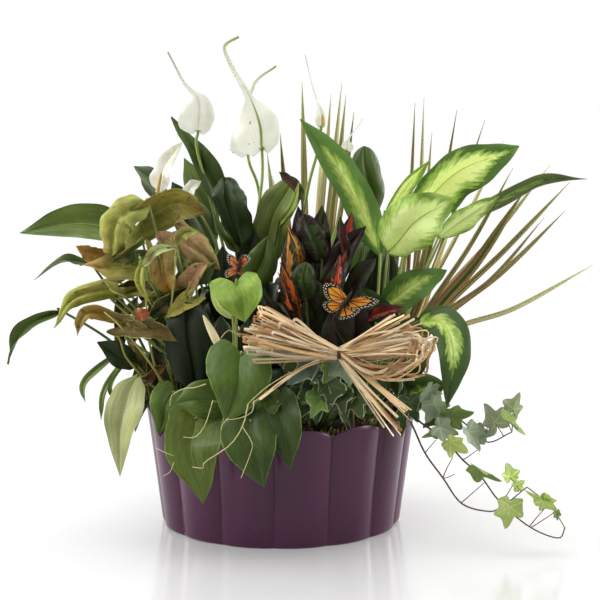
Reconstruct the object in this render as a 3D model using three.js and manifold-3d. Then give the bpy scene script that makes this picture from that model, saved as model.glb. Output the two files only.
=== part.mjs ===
// A mixed foliage dish garden: a scalloped metal pot of soil planted with peace lily,
// arrowhead vine, heart-leaf vine, croton, dumb cane, dragon plant and ivy, with a raffia
// bow and two butterflies on picks. Millimetres, +Z up, origin under the pot's middle.
import * as THREE from "three";
import { mergeVertices } from "three/addons/utils/BufferGeometryUtils.js";
import Module from "manifold-3d";

const wasm = await Module();
wasm.setup();

// Pot
const POT_BASE_R = 119;
const POT_RIM_R = 131.5;
const POT_LOBE = 3.8;
const POT_LOBES = 14;
const POT_HEIGHT = 118;
const POT_DIP = 9;
const POT_WALL = 1.6;
const POT_FLOOR = 2;
const POT_PHASE = THREE.MathUtils.degToRad(-2.5);
const POT_STEPS = 56;
const POT_RIDGE = 4;
const POT_HEEL = 8;
const FOOT_BULGE = 0.6;

// Soil and what stands in it
const SOIL_TOP = 98;
const SOIL_RISE = 8;
const GAP = 0.3;
const CROWN_R = 6;
const CROWN_DEPTH = 26;
const CROWN_RISE = 12;
const STALK_ROOT = SOIL_TOP + 6;
const PICK_DEPTH = 20;
const PICK_R = 1.1;
const WIRE_R = 0.8;
const MOUND_R = 96;

// Leaves
const BLADE = 0.8;
const PETIOLE = 1.9;
const BLOOM_STALK_R = 1.7;
const BLOOM_SEAT_R = 4.2;
const SPADIX_R = 2.2;
const SPADIX_OUT = 4.4;

// Raffia
const STRAND_R = 2.6;
const STRAND_FLAT = 0.4;
const KNOT_R = 7;

// Leaves are set out on a front sheet: across and down in millimetres as an eye EYE away
// sees them, then a depth behind (+) or before (-) the pot's axis.
const EYE = 1800;
const TILT = THREE.MathUtils.degToRad(7.7);
const SHEET_MID = 300;
const AIM_X = 19.4;
const AIM_Z = 224;
const SIN = Math.sin(TILT);
const COS = Math.cos(TILT);

const V = (x, y, z) => new THREE.Vector3(x, y, z);
const TO_EYE = V(0, -COS, SIN);

function sheet([across, down, depth]) {
  const k = (SHEET_MID - down) / EYE;
  const rise = (k * (EYE + depth * COS) - depth * SIN) / (COS + k * SIN);
  const range = EYE + depth * COS - rise * SIN;
  return V(AIM_X + ((across - SHEET_MID) * range) / EYE, depth, AIM_Z + rise);
}

function seeded(seed) {
  let state = seed >>> 0;
  return (low = 0, high = 1) => {
    state = (Math.imul(state, 1664525) + 1013904223) >>> 0;
    return low + ((high - low) * state) / 4294967296;
  };
}

const curve = (points) => new THREE.CatmullRomCurve3(points, false, "catmullrom", 0.5);

// A closed solid from numbered points and triangles, turned to face outwards.
function solid(points, triangles) {
  const flat = new Float32Array(points.flatMap((p) => [p.x, p.y, p.z]));
  let volume = 0;
  for (const [a, b, c] of triangles) {
    volume += points[a].dot(points[b].clone().cross(points[c]));
  }
  const turned = volume < 0 ? triangles.map(([a, b, c]) => [a, c, b]) : triangles;
  const triVerts = new Uint32Array(turned.flat());
  return new wasm.Manifold(new wasm.Mesh({ numProp: 3, vertProperties: flat, triVerts }));
}

function union(solids) {
  let list = solids;
  while (list.length > 1) {
    const next = [];
    for (let i = 0; i < list.length; i += 2) {
      next.push(i + 1 < list.length ? list[i].add(list[i + 1]) : list[i]);
    }
    list = next;
  }
  return list[0];
}

// Half widths (w) at stations (s) along the midrib, columns (t) across, and how far each
// column's base reaches back past the throat (ears), as a share of the length.
const OUTLINES = {
  lance: {
    s: [0, 0.2, 0.46, 0.76, 1],
    w: [0.14, 0.78, 1, 0.64, 0.03],
    t: [-1, 0, 1],
    ears: [0, 0, 0],
  },
  broad: {
    s: [0, 0.13, 0.34, 0.6, 0.83, 1],
    w: [0.2, 0.8, 1, 0.9, 0.5, 0.03],
    t: [-1, 0, 1],
    ears: [0, 0, 0],
  },
  spathe: {
    s: [0, 0.08, 0.2, 0.34, 0.46, 0.64, 0.82, 1],
    w: [0.3, 0.84, 1, 0.7, 0.26, 0.08, 0.06, 0.04],
    t: [-1, 0, 1],
    ears: [0, 0, 0],
  },
  heart: {
    s: [0, 0.1, 0.28, 0.52, 0.8, 1],
    w: [0.62, 0.95, 1, 0.84, 0.4, 0.02],
    t: [-1, 0, 1],
    ears: [0.17, 0, 0.17],
  },
  arrow: {
    s: [0, 0.2, 0.46, 0.76, 1],
    w: [0.84, 0.88, 0.76, 0.44, 0.02],
    t: [-1, 0, 1],
    ears: [0.42, 0, 0.42],
  },
  ivy: {
    s: [0, 0.24, 0.5, 1],
    w: [0.66, 1, 0.52, 0.02],
    t: [-1, 0, 1],
    ears: [0.26, 0, 0.26],
  },
  strap: {
    s: [0, 0.4, 0.76, 1],
    w: [0.4, 1, 0.8, 0.1],
    t: [-1, 1],
    ears: [0, 0],
  },
};

// A leaf: a thin shell over a folded strip along its midrib, with rows before the throat
// for the thicker stalk that carries it.
function blade(kind, width, roll, fold, path, options = {}) {
  const { facing = TO_EYE, wave = 0, stalk = null, thick = PETIOLE } = options;
  const { s, w, t, ears } = OUTLINES[kind];
  const midrib = curve(path);
  const length = midrib.getLength();
  const top = [];
  const under = [];
  const rows = s.map((station, row) => {
    const at = midrib.getPoint(station);
    const along = midrib.getTangent(station).normalize();
    const up = facing.clone().addScaledVector(along, -facing.dot(along)).normalize();
    up.applyAxisAngle(along, THREE.MathUtils.degToRad(roll));
    const half = Math.max(0.4, (width / 2) * w[row]);
    return { at, along, up, half, row, station, lift: fold, deep: BLADE / 2 };
  });
  if (stalk) {
    const line = curve(stalk);
    const reach = line.getLength();
    const steps = reach > 100 ? 3 : reach > 25 ? 2 : 1;
    let up = rows[0].up.clone();
    for (let i = steps - 1; i >= 0; i--) {
      const station = steps === 1 ? 0 : (i / (steps - 1)) * 0.97;
      const along = line.getTangent(station).normalize();
      up = up.clone().addScaledVector(along, -up.dot(along)).normalize();
      const half = thick * (1 - 0.4 * station);
      rows.unshift({ at: line.getPoint(station), along, up, half, lift: 0, deep: half * 0.8 });
    }
  }
  for (const { at, along, up, half, row, station, lift, deep } of rows) {
    const side = along.clone().cross(up);
    const tilt = THREE.MathUtils.degToRad(lift);
    t.forEach((column, j) => {
      const hand = Math.sign(column);
      const p = at.clone().addScaledVector(side, column * half * Math.cos(tilt));
      p.addScaledVector(up, Math.abs(column) * half * Math.sin(tilt));
      if (row !== undefined) {
        p.addScaledVector(along, -ears[j] * length * Math.max(0, 1 - station / 0.4));
        p.addScaledVector(up, wave * Math.abs(column) * Math.sin(row * 2.6 + column));
      }
      const normal = up.clone().multiplyScalar(Math.cos(tilt));
      normal.addScaledVector(side, -hand * Math.sin(tilt));
      top.push(p.clone().addScaledVector(normal, deep));
      under.push(p.clone().addScaledVector(normal, -deep));
    });
  }
  return shell(top, under, rows.length, t.length);
}

// Joins two like grids of points, face to face, into one closed shell.
function shell(top, under, rows, columns) {
  const n = rows * columns;
  const faces = [];
  const quad = (a, b, c, d) => faces.push([a, b, c], [a, c, d]);
  for (let i = 0; i < rows - 1; i++) {
    for (let j = 0; j < columns - 1; j++) {
      const a = i * columns + j;
      const c = a + columns + 1;
      faces.push([a, a + 1, c], [a, c, c - 1]);
      faces.push([n + a, n + c, n + a + 1], [n + a, n + c - 1, n + c]);
    }
    const left = i * columns;
    const right = left + columns - 1;
    quad(left, left + columns, n + left + columns, n + left);
    quad(right, n + right, n + right + columns, right + columns);
  }
  for (let j = 0; j < columns - 1; j++) {
    const end = (rows - 1) * columns + j;
    quad(j, n + j, n + j + 1, j + 1);
    quad(end, end + 1, n + end + 1, n + end);
  }
  return solid([...top, ...under], faces);
}

// A round or flat rod along a path, tapering from one radius to the other.
function rod(path, from, to, { sides = 4, steps = 5, flat = 1 } = {}) {
  const line = curve(path);
  const points = [];
  let normal = V(0.31, -0.9, 0.29);
  for (let i = 0; i <= steps; i++) {
    const at = line.getPoint(i / steps);
    const along = line.getTangent(i / steps).normalize();
    normal = normal.clone().addScaledVector(along, -normal.dot(along)).normalize();
    const side = along.clone().cross(normal);
    const r = from + ((to - from) * i) / steps;
    for (let k = 0; k < sides; k++) {
      const angle = (2 * Math.PI * (k + 0.5)) / sides;
      const p = at.clone().addScaledVector(side, r * Math.cos(angle));
      points.push(p.addScaledVector(normal, r * flat * Math.sin(angle)));
    }
  }
  const faces = [];
  for (let i = 0; i < steps; i++) {
    for (let k = 0; k < sides; k++) {
      const a = i * sides + k;
      const b = i * sides + ((k + 1) % sides);
      faces.push([a, b, b + sides], [a, b + sides, a + sides]);
    }
  }
  const last = steps * sides;
  for (let k = 1; k < sides - 1; k++) {
    faces.push([0, k + 1, k], [last, last + k, last + k + 1]);
  }
  return solid(points, faces);
}

// The root stock of a plant, which stands in a plain hole in the soil.
function stock([x, y]) {
  const foot = V(x, y, SOIL_TOP - CROWN_DEPTH);
  const mid = V(x, y, SOIL_TOP);
  const top = V(x, y, SOIL_TOP + CROWN_RISE);
  return rod([foot, mid, top], CROWN_R, CROWN_R * 0.8, { sides: 6, steps: 2 });
}

// A leaf with its stalk. Its row is [outline, width, roll, fold, midrib points, options].
function leaf(crown, [kind, width, roll, fold, points, options = {}]) {
  const path = points.map(sheet);
  return stalked(crown, kind, width, roll, fold, path, options);
}

function stalked(crown, kind, width, roll, fold, path, options) {
  const throat = path[0];
  const start = V(throat.x - crown[0], throat.y - crown[1], 0).setLength(CROWN_R * 0.5);
  start.add(V(crown[0], crown[1], STALK_ROOT));
  const bend = start.clone().lerp(throat, 0.5);
  bend.z += 0.14 * Math.hypot(throat.x - start.x, throat.y - start.y);
  return blade(kind, width, roll, fold, path, { ...options, stalk: [start, bend, throat] });
}

// Leaves placed by rule in two tiers, for the sides that the front sheet hides. They lean
// out of the pot, or hang over its rim.
function spray(crown, seed, count, options) {
  const { kind, azimuth, reach, height, width, droop, fold = 14, hang = false } = options;
  const random = seeded(seed);
  const made = [];
  for (let i = 0; i < count; i++) {
    const share = (i + 0.5) / count;
    const a = THREE.MathUtils.degToRad(azimuth[0] + (azimuth[1] - azimuth[0]) * share);
    const tier = (i % 2) * 0.75 + random(0, 0.25);
    const far = reach[0] + (reach[1] - reach[0]) * (hang ? tier : 1 - tier * 0.8);
    const high = height[0] + (height[1] - height[0]) * tier;
    const size = random(...width);
    const along = V(Math.cos(a), Math.sin(a), 0);
    const at = (r, z) => V(crown[0], crown[1], z).addScaledVector(along, r);
    const path = hang
      ? [at(far * 0.62, high), at(far, high - 20), at(far + 4, high - droop)]
      : [at(far * 0.42, high * 0.86), at(far * 0.72, high), at(far, high - droop)];
    const facing = V(along.x, along.y, hang ? 0.5 : 2.6).normalize();
    made.push(stalked(crown, kind, size, random(-14, 14), fold, path, { facing }));
  }
  return made;
}

// Plants: crown (x, y) on the soil, then leaf rows on the front sheet.
const LILY = {
  crown: [-34, 42],
  leaves: [
    ["broad", 42, 18, 16, [[245, 262, 40], [212, 178, 46], [171, 117, 54]]],
    ["broad", 40, -12, 26, [[243, 250, 14], [229, 204, 4], [224, 177, 14]]],
    ["lance", 24, 35, 20, [[166, 202, 34], [150, 176, 28], [134, 165, 22]]],
    ["lance", 30, 28, 18, [[205, 250, 30], [184, 208, 22], [172, 182, 26]]],
    ["lance", 28, 20, 16, [[216, 240, 56], [199, 192, 54], [184, 158, 60]]],
    ["broad", 46, -14, 18, [[262, 266, 22], [276, 216, 14], [293, 179, 22]]],
    ["lance", 34, 10, 16, [[240, 300, -8], [262, 262, -16], [268, 236, -12]]],
  ],
};
const LILY_LEFT = {
  crown: [-104, 14],
  leaves: [
    ["broad", 40, 10, 10, [[106, 231, 12], [64, 221, -4], [20, 232, -22]], { wave: 2 }],
    ["lance", 20, 62, 14, [[86, 264, 2], [62, 263, -10], [34, 280, -24]]],
    ["lance", 30, 24, 20, [[64, 300, -12], [24, 318, -32], [7, 364, -44]], { wave: 2 }],
    ["broad", 48, -8, 16, [[196, 396, 10], [188, 340, 6], [184, 298, 8]]],
  ],
};
const LILY_LOW = {
  crown: [-96, -34],
  leaves: [
    ["lance", 30, 10, 14, [[136, 364, -66], [118, 352, -78], [97, 342, -84]]],
    ["strap", 13, 20, 0, [[120, 350, -56], [86, 380, -66], [85, 400, -70]]],
    ["strap", 13, 10, 0, [[126, 356, -62], [104, 396, -80], [101, 420, -84]]],
    ["lance", 36, 14, 14, [[142, 376, -84], [120, 412, -106], [118, 446, -110], [122, 476, -108]]],
  ],
};
const LILY_RIGHT = {
  crown: [62, 74],
  leaves: [["broad", 36, 10, 12, [[368, 222, 54], [368, 178, 46], [364, 146, 52]]]],
};
const ARROWHEAD = {
  crown: [-72, -8],
  leaves: [
    ["arrow", 64, 46, 24, [[142, 224, -40], [174, 202, -46], [207, 214, -40]], { wave: 3 }],
    ["broad", 34, -20, 20, [[147, 206, -50], [119, 222, -62], [106, 273, -64]], { wave: 2 }],
    ["arrow", 46, -14, 20, [[182, 238, -54], [200, 252, -62], [220, 270, -56]], { wave: 2 }],
    ["arrow", 40, 30, 20, [[140, 266, -58], [110, 268, -68], [80, 264, -74]], { wave: 2 }],
    ["arrow", 28, 10, 18, [[103, 262, -34], [90, 254, -38], [76, 246, -40]]],
    ["arrow", 48, 12, 24, [[160, 258, -74], [165, 282, -84], [172, 306, -84]], { wave: 2 }],
    ["arrow", 34, 24, 18, [[108, 288, -66], [76, 296, -76], [54, 326, -82]]],
    ["arrow", 30, 14, 18, [[128, 316, -74], [102, 318, -86], [77, 336, -90]]],
    ["arrow", 32, -10, 18, [[130, 326, -96], [152, 330, -102], [177, 341, -100]]],
    ["arrow", 32, -16, 20, [[158, 302, -66], [173, 290, -70], [193, 288, -66]]],
    ["arrow", 24, -8, 16, [[186, 286, -80], [197, 273, -84], [208, 262, -80]]],
    ["strap", 12, 0, 0, [[134, 318, -106], [141, 314, -108], [150, 313, -106]]],
  ],
};
const HEARTLEAF = {
  crown: [-42, -78],
  leaves: [
    ["heart", 64, 4, 14, [[241, 354, -128], [237, 386, -142], [226, 423, -141]]],
    ["heart", 56, -6, 14, [[196, 418, -116], [195, 456, -136], [203, 504, -135]]],
    ["heart", 54, 6, 14, [[250, 420, -138], [252, 452, -150], [264, 487, -149]]],
    ["heart", 40, 16, 14, [[277, 402, -132], [283, 432, -144], [290, 470, -144]]],
    ["heart", 36, -10, 14, [[174, 392, -96], [165, 412, -110], [158, 435, -112]]],
    ["heart", 40, 0, 12, [[216, 402, -122], [196, 400, -128], [174, 404, -124]]],
    ["heart", 42, 8, 12, [[264, 392, -124], [257, 408, -132], [250, 426, -136]]],
    ["heart", 56, 4, 20, [[237, 282, -104], [240, 298, -112], [244, 322, -112]]],
  ],
};
const CROTON = {
  crown: [34, -22],
  leaves: [
    ["lance", 22, 10, 22, [[302, 318, -30], [291, 276, -42], [288, 230, -38]], { wave: 1.5 }],
    ["lance", 22, 26, 22, [[304, 330, -40], [290, 300, -54], [278, 272, -56]], { wave: 1.5 }],
    ["lance", 24, -12, 22, [[318, 326, -34], [332, 292, -48], [345, 262, -50]], { wave: 1.5 }],
    ["lance", 28, -10, 20, [[322, 300, -22], [342, 256, -26], [366, 226, -22]], { wave: 1.5 }],
    ["lance", 18, -16, 20, [[350, 324, -46], [382, 313, -58], [405, 307, -56]]],
    ["lance", 28, 0, 20, [[314, 290, -12], [319, 244, -10], [322, 205, -8]]],
    ["lance", 28, 12, 20, [[304, 290, -4], [303, 244, -2], [298, 206, 0]]],
    ["lance", 26, -14, 20, [[328, 300, -8], [344, 252, -6], [352, 212, -2]]],
    ["lance", 22, 0, 20, [[324, 332, -50], [322, 302, -64], [316, 280, -66]]],
    ["lance", 20, 20, 20, [[292, 332, -46], [272, 312, -58], [262, 292, -56]]],
    ["lance", 22, -20, 20, [[344, 306, -22], [362, 276, -30], [376, 258, -28]]],
  ],
};
const DUMBCANE = {
  crown: [88, 0],
  leaves: [
    ["broad", 40, -14, 14, [[380, 254, 8], [346, 180, 20], [300, 119, 26]]],
    ["broad", 56, 20, 12, [[412, 214, 16], [462, 172, 8], [519, 146, 6]], { wave: 2 }],
    ["broad", 56, 12, 14, [[388, 252, -16], [418, 222, -30], [455, 198, -28]], { wave: 2 }],
    ["lance", 30, 24, 18, [[446, 228, 10], [500, 204, 4], [545, 187, 2], [587, 179, 4]]],
    ["lance", 18, 30, 20, [[384, 218, 30], [406, 186, 32], [430, 160, 36]]],
    ["broad", 36, 14, 14, [[384, 306, -18], [415, 286, -30], [447, 270, -28]]],
    ["lance", 26, -14, 16, [[398, 328, -26], [378, 306, -38], [360, 287, -38]]],
    ["broad", 38, -8, 14, [[416, 322, -36], [442, 326, -62], [453, 362, -86], [447, 407, -92]]],
  ],
};
const IVY = {
  crown: [34, -84],
  leaves: [
    ["ivy", 34, 6, 10, [[302, 360, -124], [300, 376, -130], [296, 394, -130]]],
    ["ivy", 26, -4, 10, [[322, 366, -122], [321, 376, -126], [320, 388, -126]]],
    ["ivy", 28, -8, 10, [[342, 362, -122], [345, 374, -124], [348, 390, -124]]],
    ["ivy", 38, 6, 10, [[316, 386, -128], [318, 402, -134], [316, 420, -136]]],
    ["ivy", 38, -10, 10, [[342, 384, -128], [344, 402, -134], [346, 424, -138]]],
    ["ivy", 30, 12, 10, [[366, 388, -116], [370, 400, -120], [376, 416, -124]]],
  ],
};
// Trailing ivy stems on the front sheet, and the leaves along them.
const IVY_TRAIL = {
  crown: [92, -58],
  stems: [
    [[396, 398, -66], [412, 425, -80], [425, 453, -94], [443, 478, -104], [461, 503, -114],
      [485, 511, -120], [500, 508, -122], [527, 487, -120]],
    [[400, 396, -60], [418, 420, -72], [442, 437, -82], [463, 460, -92], [480, 475, -98],
      [500, 502, -110], [530, 527, -122], [558, 538, -128], [565, 528, -128]],
    [[404, 396, -54], [430, 414, -62], [460, 420, -68], [486, 442, -76], [512, 432, -78]],
  ],
  leaves: [
    [30, 425, 400, -68, -30], [30, 462, 414, -74, 10], [32, 492, 416, -72, -20],
    [24, 522, 402, -70, 40], [30, 524, 430, -84, 15], [24, 450, 432, -88, 60],
    [28, 478, 438, -84, 10], [26, 464, 452, -98, -20], [28, 492, 478, -106, 20],
    [20, 514, 474, -108, 30], [16, 529, 486, -122, 70], [32, 550, 508, -126, 25],
    [28, 512, 522, -124, 0],
  ],
};
// Dragon plant straps: [width, roll, points], from each plant's own crown.
const DRAGON_RIGHT = {
  crown: [96, 56],
  straps: [
    [9, 10, [420, 320, 52], [470, 245, 46], [513, 168, 44]],
    [15, -20, [428, 322, 44], [478, 262, 36], [525, 190, 32]],
    [9, 20, [424, 316, 62], [490, 240, 60], [550, 165, 60]],
    [10, -10, [432, 322, 56], [505, 250, 50], [570, 182, 48]],
    [10, 10, [434, 326, 48], [502, 272, 40], [565, 211, 36]],
    [9, 10, [440, 336, 40], [515, 308, 30], [593, 265, 24]],
    [8, 0, [430, 326, 36], [490, 280, 26], [544, 218, 22]],
    [8, 30, [404, 300, 74], [410, 200, 74], [415, 103, 76]],
    [8, -20, [410, 300, 80], [420, 200, 84], [424, 98, 88]],
    [8, 10, [408, 300, 66], [424, 215, 62], [432, 132, 62]],
    [9, 20, [414, 305, 70], [438, 210, 68], [457, 110, 70]],
    [8, -30, [418, 308, 76], [455, 210, 78], [485, 120, 82]],
    [8, 20, [416, 312, 84], [462, 225, 88], [504, 140, 94]],
  ],
};
const DRAGON_MID = {
  crown: [24, 66],
  straps: [
    [9, 10, [306, 300, 62], [304, 190, 64], [302, 82, 68]],
    [8, -10, [318, 300, 66], [332, 190, 70], [342, 82, 76]],
    [8, 20, [312, 300, 72], [322, 190, 78], [331, 94, 84]],
    [8, 0, [322, 300, 60], [336, 190, 62], [346, 95, 64]],
    [8, 30, [324, 300, 76], [342, 200, 84], [354, 112, 92]],
    [8, -20, [296, 300, 58], [287, 210, 54], [280, 133, 54]],
    [8, 10, [292, 300, 52], [276, 220, 46], [267, 152, 46]],
    [9, 0, [300, 316, 90], [288, 236, 124], [272, 176, 170]],
    [9, 0, [314, 316, 84], [318, 220, 112], [322, 140, 150]],
  ],
};

// Peace lily blooms: stalk points, then spathe points, width, roll and cup.
const BLOOMS = [
  {
    stalk: [[236, 300, 46], [212, 205, 44], [197, 150, 40], [198, 134, 38]],
    spathe: [[198, 133, 38], [198, 112, 32], [186, 84, 34], [168, 52, 38]],
    width: 34, roll: 0, cup: 18, spadix: 0,
  },
  {
    stalk: [[256, 300, 40], [255, 240, 34], [262, 180, 32], [262, 152, 32]],
    spathe: [[262, 150, 32], [255, 118, 26], [238, 78, 28], [227, 45, 30], [238, 37, 32]],
    width: 46, roll: 6, cup: 14, spadix: 0,
  },
  {
    stalk: [[262, 300, 62], [260, 200, 62], [250, 165, 60], [248, 156, 60]],
    spathe: [[248, 155, 60], [246, 125, 58], [256, 84, 60], [276, 66, 62]],
    width: 28, roll: 10, cup: 14, spadix: 0,
  },
  {
    stalk: [[228, 300, 30], [205, 235, 14], [180, 206, 2], [160, 195, -2]],
    spathe: [[159, 194, -2], [160, 170, -8], [180, 142, -6]],
    width: 28, roll: -20, cup: 22, spadix: 20, kind: "broad",
  },
  {
    stalk: [[296, 300, 44], [306, 200, 42], [318, 150, 42], [321, 128, 42]],
    spathe: [[321, 127, 42], [320, 108, 38], [312, 84, 40], [305, 55, 42]],
    width: 16, roll: 30, cup: 22, spadix: 12,
  },
  {
    stalk: [[322, 300, 28], [338, 220, 32], [346, 170, 34], [347, 152, 34]],
    spathe: [[347, 151, 34], [350, 138, 31], [363, 119, 34]],
    width: 14, roll: 0, cup: 20, spadix: 0,
  },
  {
    stalk: [[232, 300, 24], [214, 240, 8], [194, 206, -6], [186, 198, -10]],
    spathe: [[185, 197, -10], [191, 188, -14], [201, 181, -12]],
    width: 14, roll: -10, cup: 18, spadix: 0, kind: "broad",
  },
];

// Raffia bow: loops that leave the knot and come back to it, and loose tails.
const BOW_FOOT = [70, -96];
const KNOT = [339, 354, -146];
const LOOPS = [
  [[300, 326, -152], [262, 312, -150], [252, 330, -146], [296, 346, -144]],
  [[302, 334, -158], [256, 326, -158], [250, 346, -154], [300, 352, -150]],
  [[304, 320, -146], [276, 306, -144], [262, 316, -140], [304, 340, -140]],
  [[300, 344, -162], [264, 342, -162], [262, 360, -158], [304, 360, -154]],
  [[376, 336, -152], [404, 322, -150], [414, 330, -146], [378, 348, -144]],
  [[380, 342, -158], [420, 334, -156], [424, 350, -152], [380, 356, -150]],
  [[378, 354, -162], [416, 358, -160], [412, 372, -156], [376, 364, -154]],
  [[374, 362, -152], [402, 380, -150], [396, 388, -146], [368, 372, -146]],
];
const TAILS = [
  [[362, 384, -152], [386, 414, -154], [396, 438, -154]],
  [[360, 376, -156], [384, 402, -160], [414, 422, -160]],
  [[356, 386, -148], [374, 412, -148], [392, 428, -148]],
  [[372, 340, -146], [398, 328, -142], [419, 321, -140]],
];

const group = new THREE.Group();
const holes = [];

function add(name, body, colour, roughness, metalness = 0) {
  const pieces = body.decompose().sort((a, b) => b.volume() - a.volume());
  const { vertProperties, triVerts, numProp } = pieces[0].getMesh();
  const flat = new Float32Array((vertProperties.length / numProp) * 3);
  for (let i = 0; i < flat.length / 3; i++) {
    flat.set(vertProperties.subarray(i * numProp, i * numProp + 3), i * 3);
  }
  const geometry = new THREE.BufferGeometry();
  geometry.setAttribute("position", new THREE.BufferAttribute(flat, 3));
  geometry.setIndex(new THREE.BufferAttribute(new Uint32Array(triVerts), 1));
  const shaded = mergeVertices(geometry, 1e-3);
  shaded.computeVertexNormals();
  const material = new THREE.MeshStandardMaterial({ color: colour, roughness, metalness });
  const mesh = new THREE.Mesh(shaded, material);
  mesh.name = name;
  group.add(mesh);
}

// Pot: rings of points up the outer wall, over the rim and down the inner wall.
const lobeAt = (a) => Math.abs(Math.cos(((a - POT_PHASE) * POT_LOBES) / 2));
const lobeBulge = (a) => Math.pow(lobeAt(a), 0.7);

function potRing(radius, bulge, z, dip = 0, count = POT_STEPS) {
  const ring = [];
  for (let i = 0; i < count; i++) {
    const a = (2 * Math.PI * i) / count + POT_PHASE;
    const r = radius + bulge * (lobeBulge(a) - 0.5);
    const drop = dip * (1 - Math.pow(lobeAt(a), 0.8));
    ring.push(V(r * Math.cos(a), r * Math.sin(a), z - drop));
  }
  return ring;
}

// Closes a stack of like rings with a flat fan at each end.
function stack(rings, centreLow, centreHigh) {
  const points = rings.flat();
  const n = rings[0].length;
  const low = points.push(centreLow) - 1;
  const high = points.push(centreHigh) - 1;
  const faces = [];
  for (let k = 0; k < n; k++) {
    const next = (k + 1) % n;
    faces.push([low, next, k]);
    for (let i = 0; i < rings.length - 1; i++) {
      const a = i * n + k;
      const b = i * n + next;
      faces.push([a, b, b + n], [a, b + n, a + n]);
    }
    const top = (rings.length - 1) * n;
    faces.push([high, top + k, top + next]);
  }
  return solid(points, faces);
}

const wallR = (z) => POT_BASE_R + ((POT_RIM_R - POT_BASE_R) * z) / POT_HEIGHT;
const bulgeAt = (z) => POT_LOBE * 2 * (FOOT_BULGE + ((1 - FOOT_BULGE) * z) / POT_HEIGHT);
const footBulge = bulgeAt(0) * 0.5;
const pot = stack(
  [
    potRing(POT_BASE_R - POT_RIDGE - 1, footBulge, 0),
    potRing(POT_BASE_R - 1, bulgeAt(POT_RIDGE), POT_RIDGE),
    potRing(wallR(POT_HEIGHT), bulgeAt(POT_HEIGHT), POT_HEIGHT, POT_DIP),
    potRing(wallR(POT_HEIGHT) - POT_WALL, bulgeAt(POT_HEIGHT), POT_HEIGHT, POT_DIP),
    potRing(wallR(POT_HEEL) - POT_WALL - 1, bulgeAt(POT_HEEL), POT_HEEL),
    potRing(POT_BASE_R - POT_HEEL, footBulge, POT_FLOOR),
  ],
  V(0, 0, 0),
  V(0, 0, POT_FLOOR),
);
add("pot", pot, 0x4e2c44, 0.4, 0.4);

// Plants
function plant(name, crown, solids, colour, roughness) {
  holes.push({ at: crown, radius: CROWN_R });
  add(name, union([stock(crown), ...solids]), colour, roughness);
}

const leavesOf = (p) => p.leaves.map((row) => leaf(p.crown, row));

const blooms = BLOOMS.map((bloom, i) => {
  const stalk = bloom.stalk.map(sheet);
  const path = bloom.spathe.map(sheet);
  path[0].lerp(path[1], 0.1);
  const base = path[0];
  const along = curve(path).getTangent(0).normalize();
  const front = TO_EYE.clone().addScaledVector(along, -TO_EYE.dot(along)).normalize();
  front.applyAxisAngle(along, THREE.MathUtils.degToRad(bloom.roll));
  const top = base.clone().addScaledVector(along, -GAP - 0.05);
  return { bloom, i, stalk, path, along, front, base, top };
});

function bloomStalks(crown, from, to) {
  return blooms.slice(from, to).flatMap(({ i, stalk, top, along }) => {
    const around = i * 1.3;
    const start = V(crown[0] + 3 * Math.cos(around), crown[1] + 3 * Math.sin(around), 0);
    start.z = STALK_ROOT;
    const neck = top.clone().addScaledVector(along, -3);
    return [
      rod([start, ...stalk.slice(0, 3), neck], BLOOM_STALK_R, 1.4, { sides: 3, steps: 4 }),
      rod([neck, top], BLOOM_STALK_R, BLOOM_SEAT_R, { sides: 6, steps: 1 }),
    ];
  });
}

const lilyBack = spray(LILY.crown, 11, 4, {
  kind: "broad", azimuth: [106, 172], reach: [96, 150], height: [205, 300],
  width: [38, 48], droop: 46,
});
const lilyStalks = [...bloomStalks(LILY.crown, 0, 4), ...bloomStalks(LILY.crown, 6, 7)];
plant("peace_lily", LILY.crown, [...leavesOf(LILY), ...lilyStalks, ...lilyBack], 0x2f4a26, 0.4);
plant("peace_lily_left", LILY_LEFT.crown, leavesOf(LILY_LEFT), 0x3d5a2c, 0.4);
plant("peace_lily_low", LILY_LOW.crown, leavesOf(LILY_LOW), 0x2a4022, 0.4);
const rightBack = spray(LILY_RIGHT.crown, 23, 4, {
  kind: "broad", azimuth: [36, 92], reach: [70, 122], height: [165, 280],
  width: [36, 46], droop: 40,
});
const rightStalks = bloomStalks(LILY_RIGHT.crown, 4, 6);
const rightLily = [...leavesOf(LILY_RIGHT), ...rightStalks, ...rightBack];
plant("peace_lily_right", LILY_RIGHT.crown, rightLily, 0x2b4524, 0.4);

blooms.forEach(({ bloom, i, path, along, front, base }) => {
  const cup = blade(bloom.kind || "spathe", bloom.width, bloom.roll, bloom.cup, path);
  add(`lily_spathe_${i + 1}`, cup, 0xf4f4ec, 0.5);
  if (bloom.spadix) {
    const foot = base.clone().addScaledVector(front, SPADIX_OUT);
    const tip = foot.clone().addScaledVector(along, bloom.spadix);
    const body = rod([foot, tip], SPADIX_R, SPADIX_R * 0.7, { sides: 6, steps: 3 });
    add(`lily_spadix_${i + 1}`, body, 0xd9c48a, 0.7);
  }
});

plant("arrowhead_vine", ARROWHEAD.crown, leavesOf(ARROWHEAD), 0x7d7440, 0.5);

const sheath = rod([[221, 350, -112], [213, 334, -112], [203, 315, -110]].map(sheet), 4, 0.8, {
  sides: 5,
  steps: 3,
});
const sheathStem = rod(
  [V(HEARTLEAF.crown[0], HEARTLEAF.crown[1], STALK_ROOT), sheet([224, 356, -110]),
    sheet([218, 344, -112])], 2, 2, { steps: 3 },
);
plant("heartleaf_vine", HEARTLEAF.crown, [...leavesOf(HEARTLEAF), sheath, sheathStem], 0x3f6a2c, 0.35);

const BACK_VINE = [-8, 98];
const backHearts = spray(BACK_VINE, 47, 4, {
  kind: "heart", azimuth: [30, 150], reach: [50, 60], height: [142, 168],
  width: [42, 52], droop: 64, hang: true,
});
plant("heartleaf_vine_back", BACK_VINE, backHearts, 0x3f6a2c, 0.35);

plant("croton", CROTON.crown, leavesOf(CROTON), 0x3a1f1c, 0.35);

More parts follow.
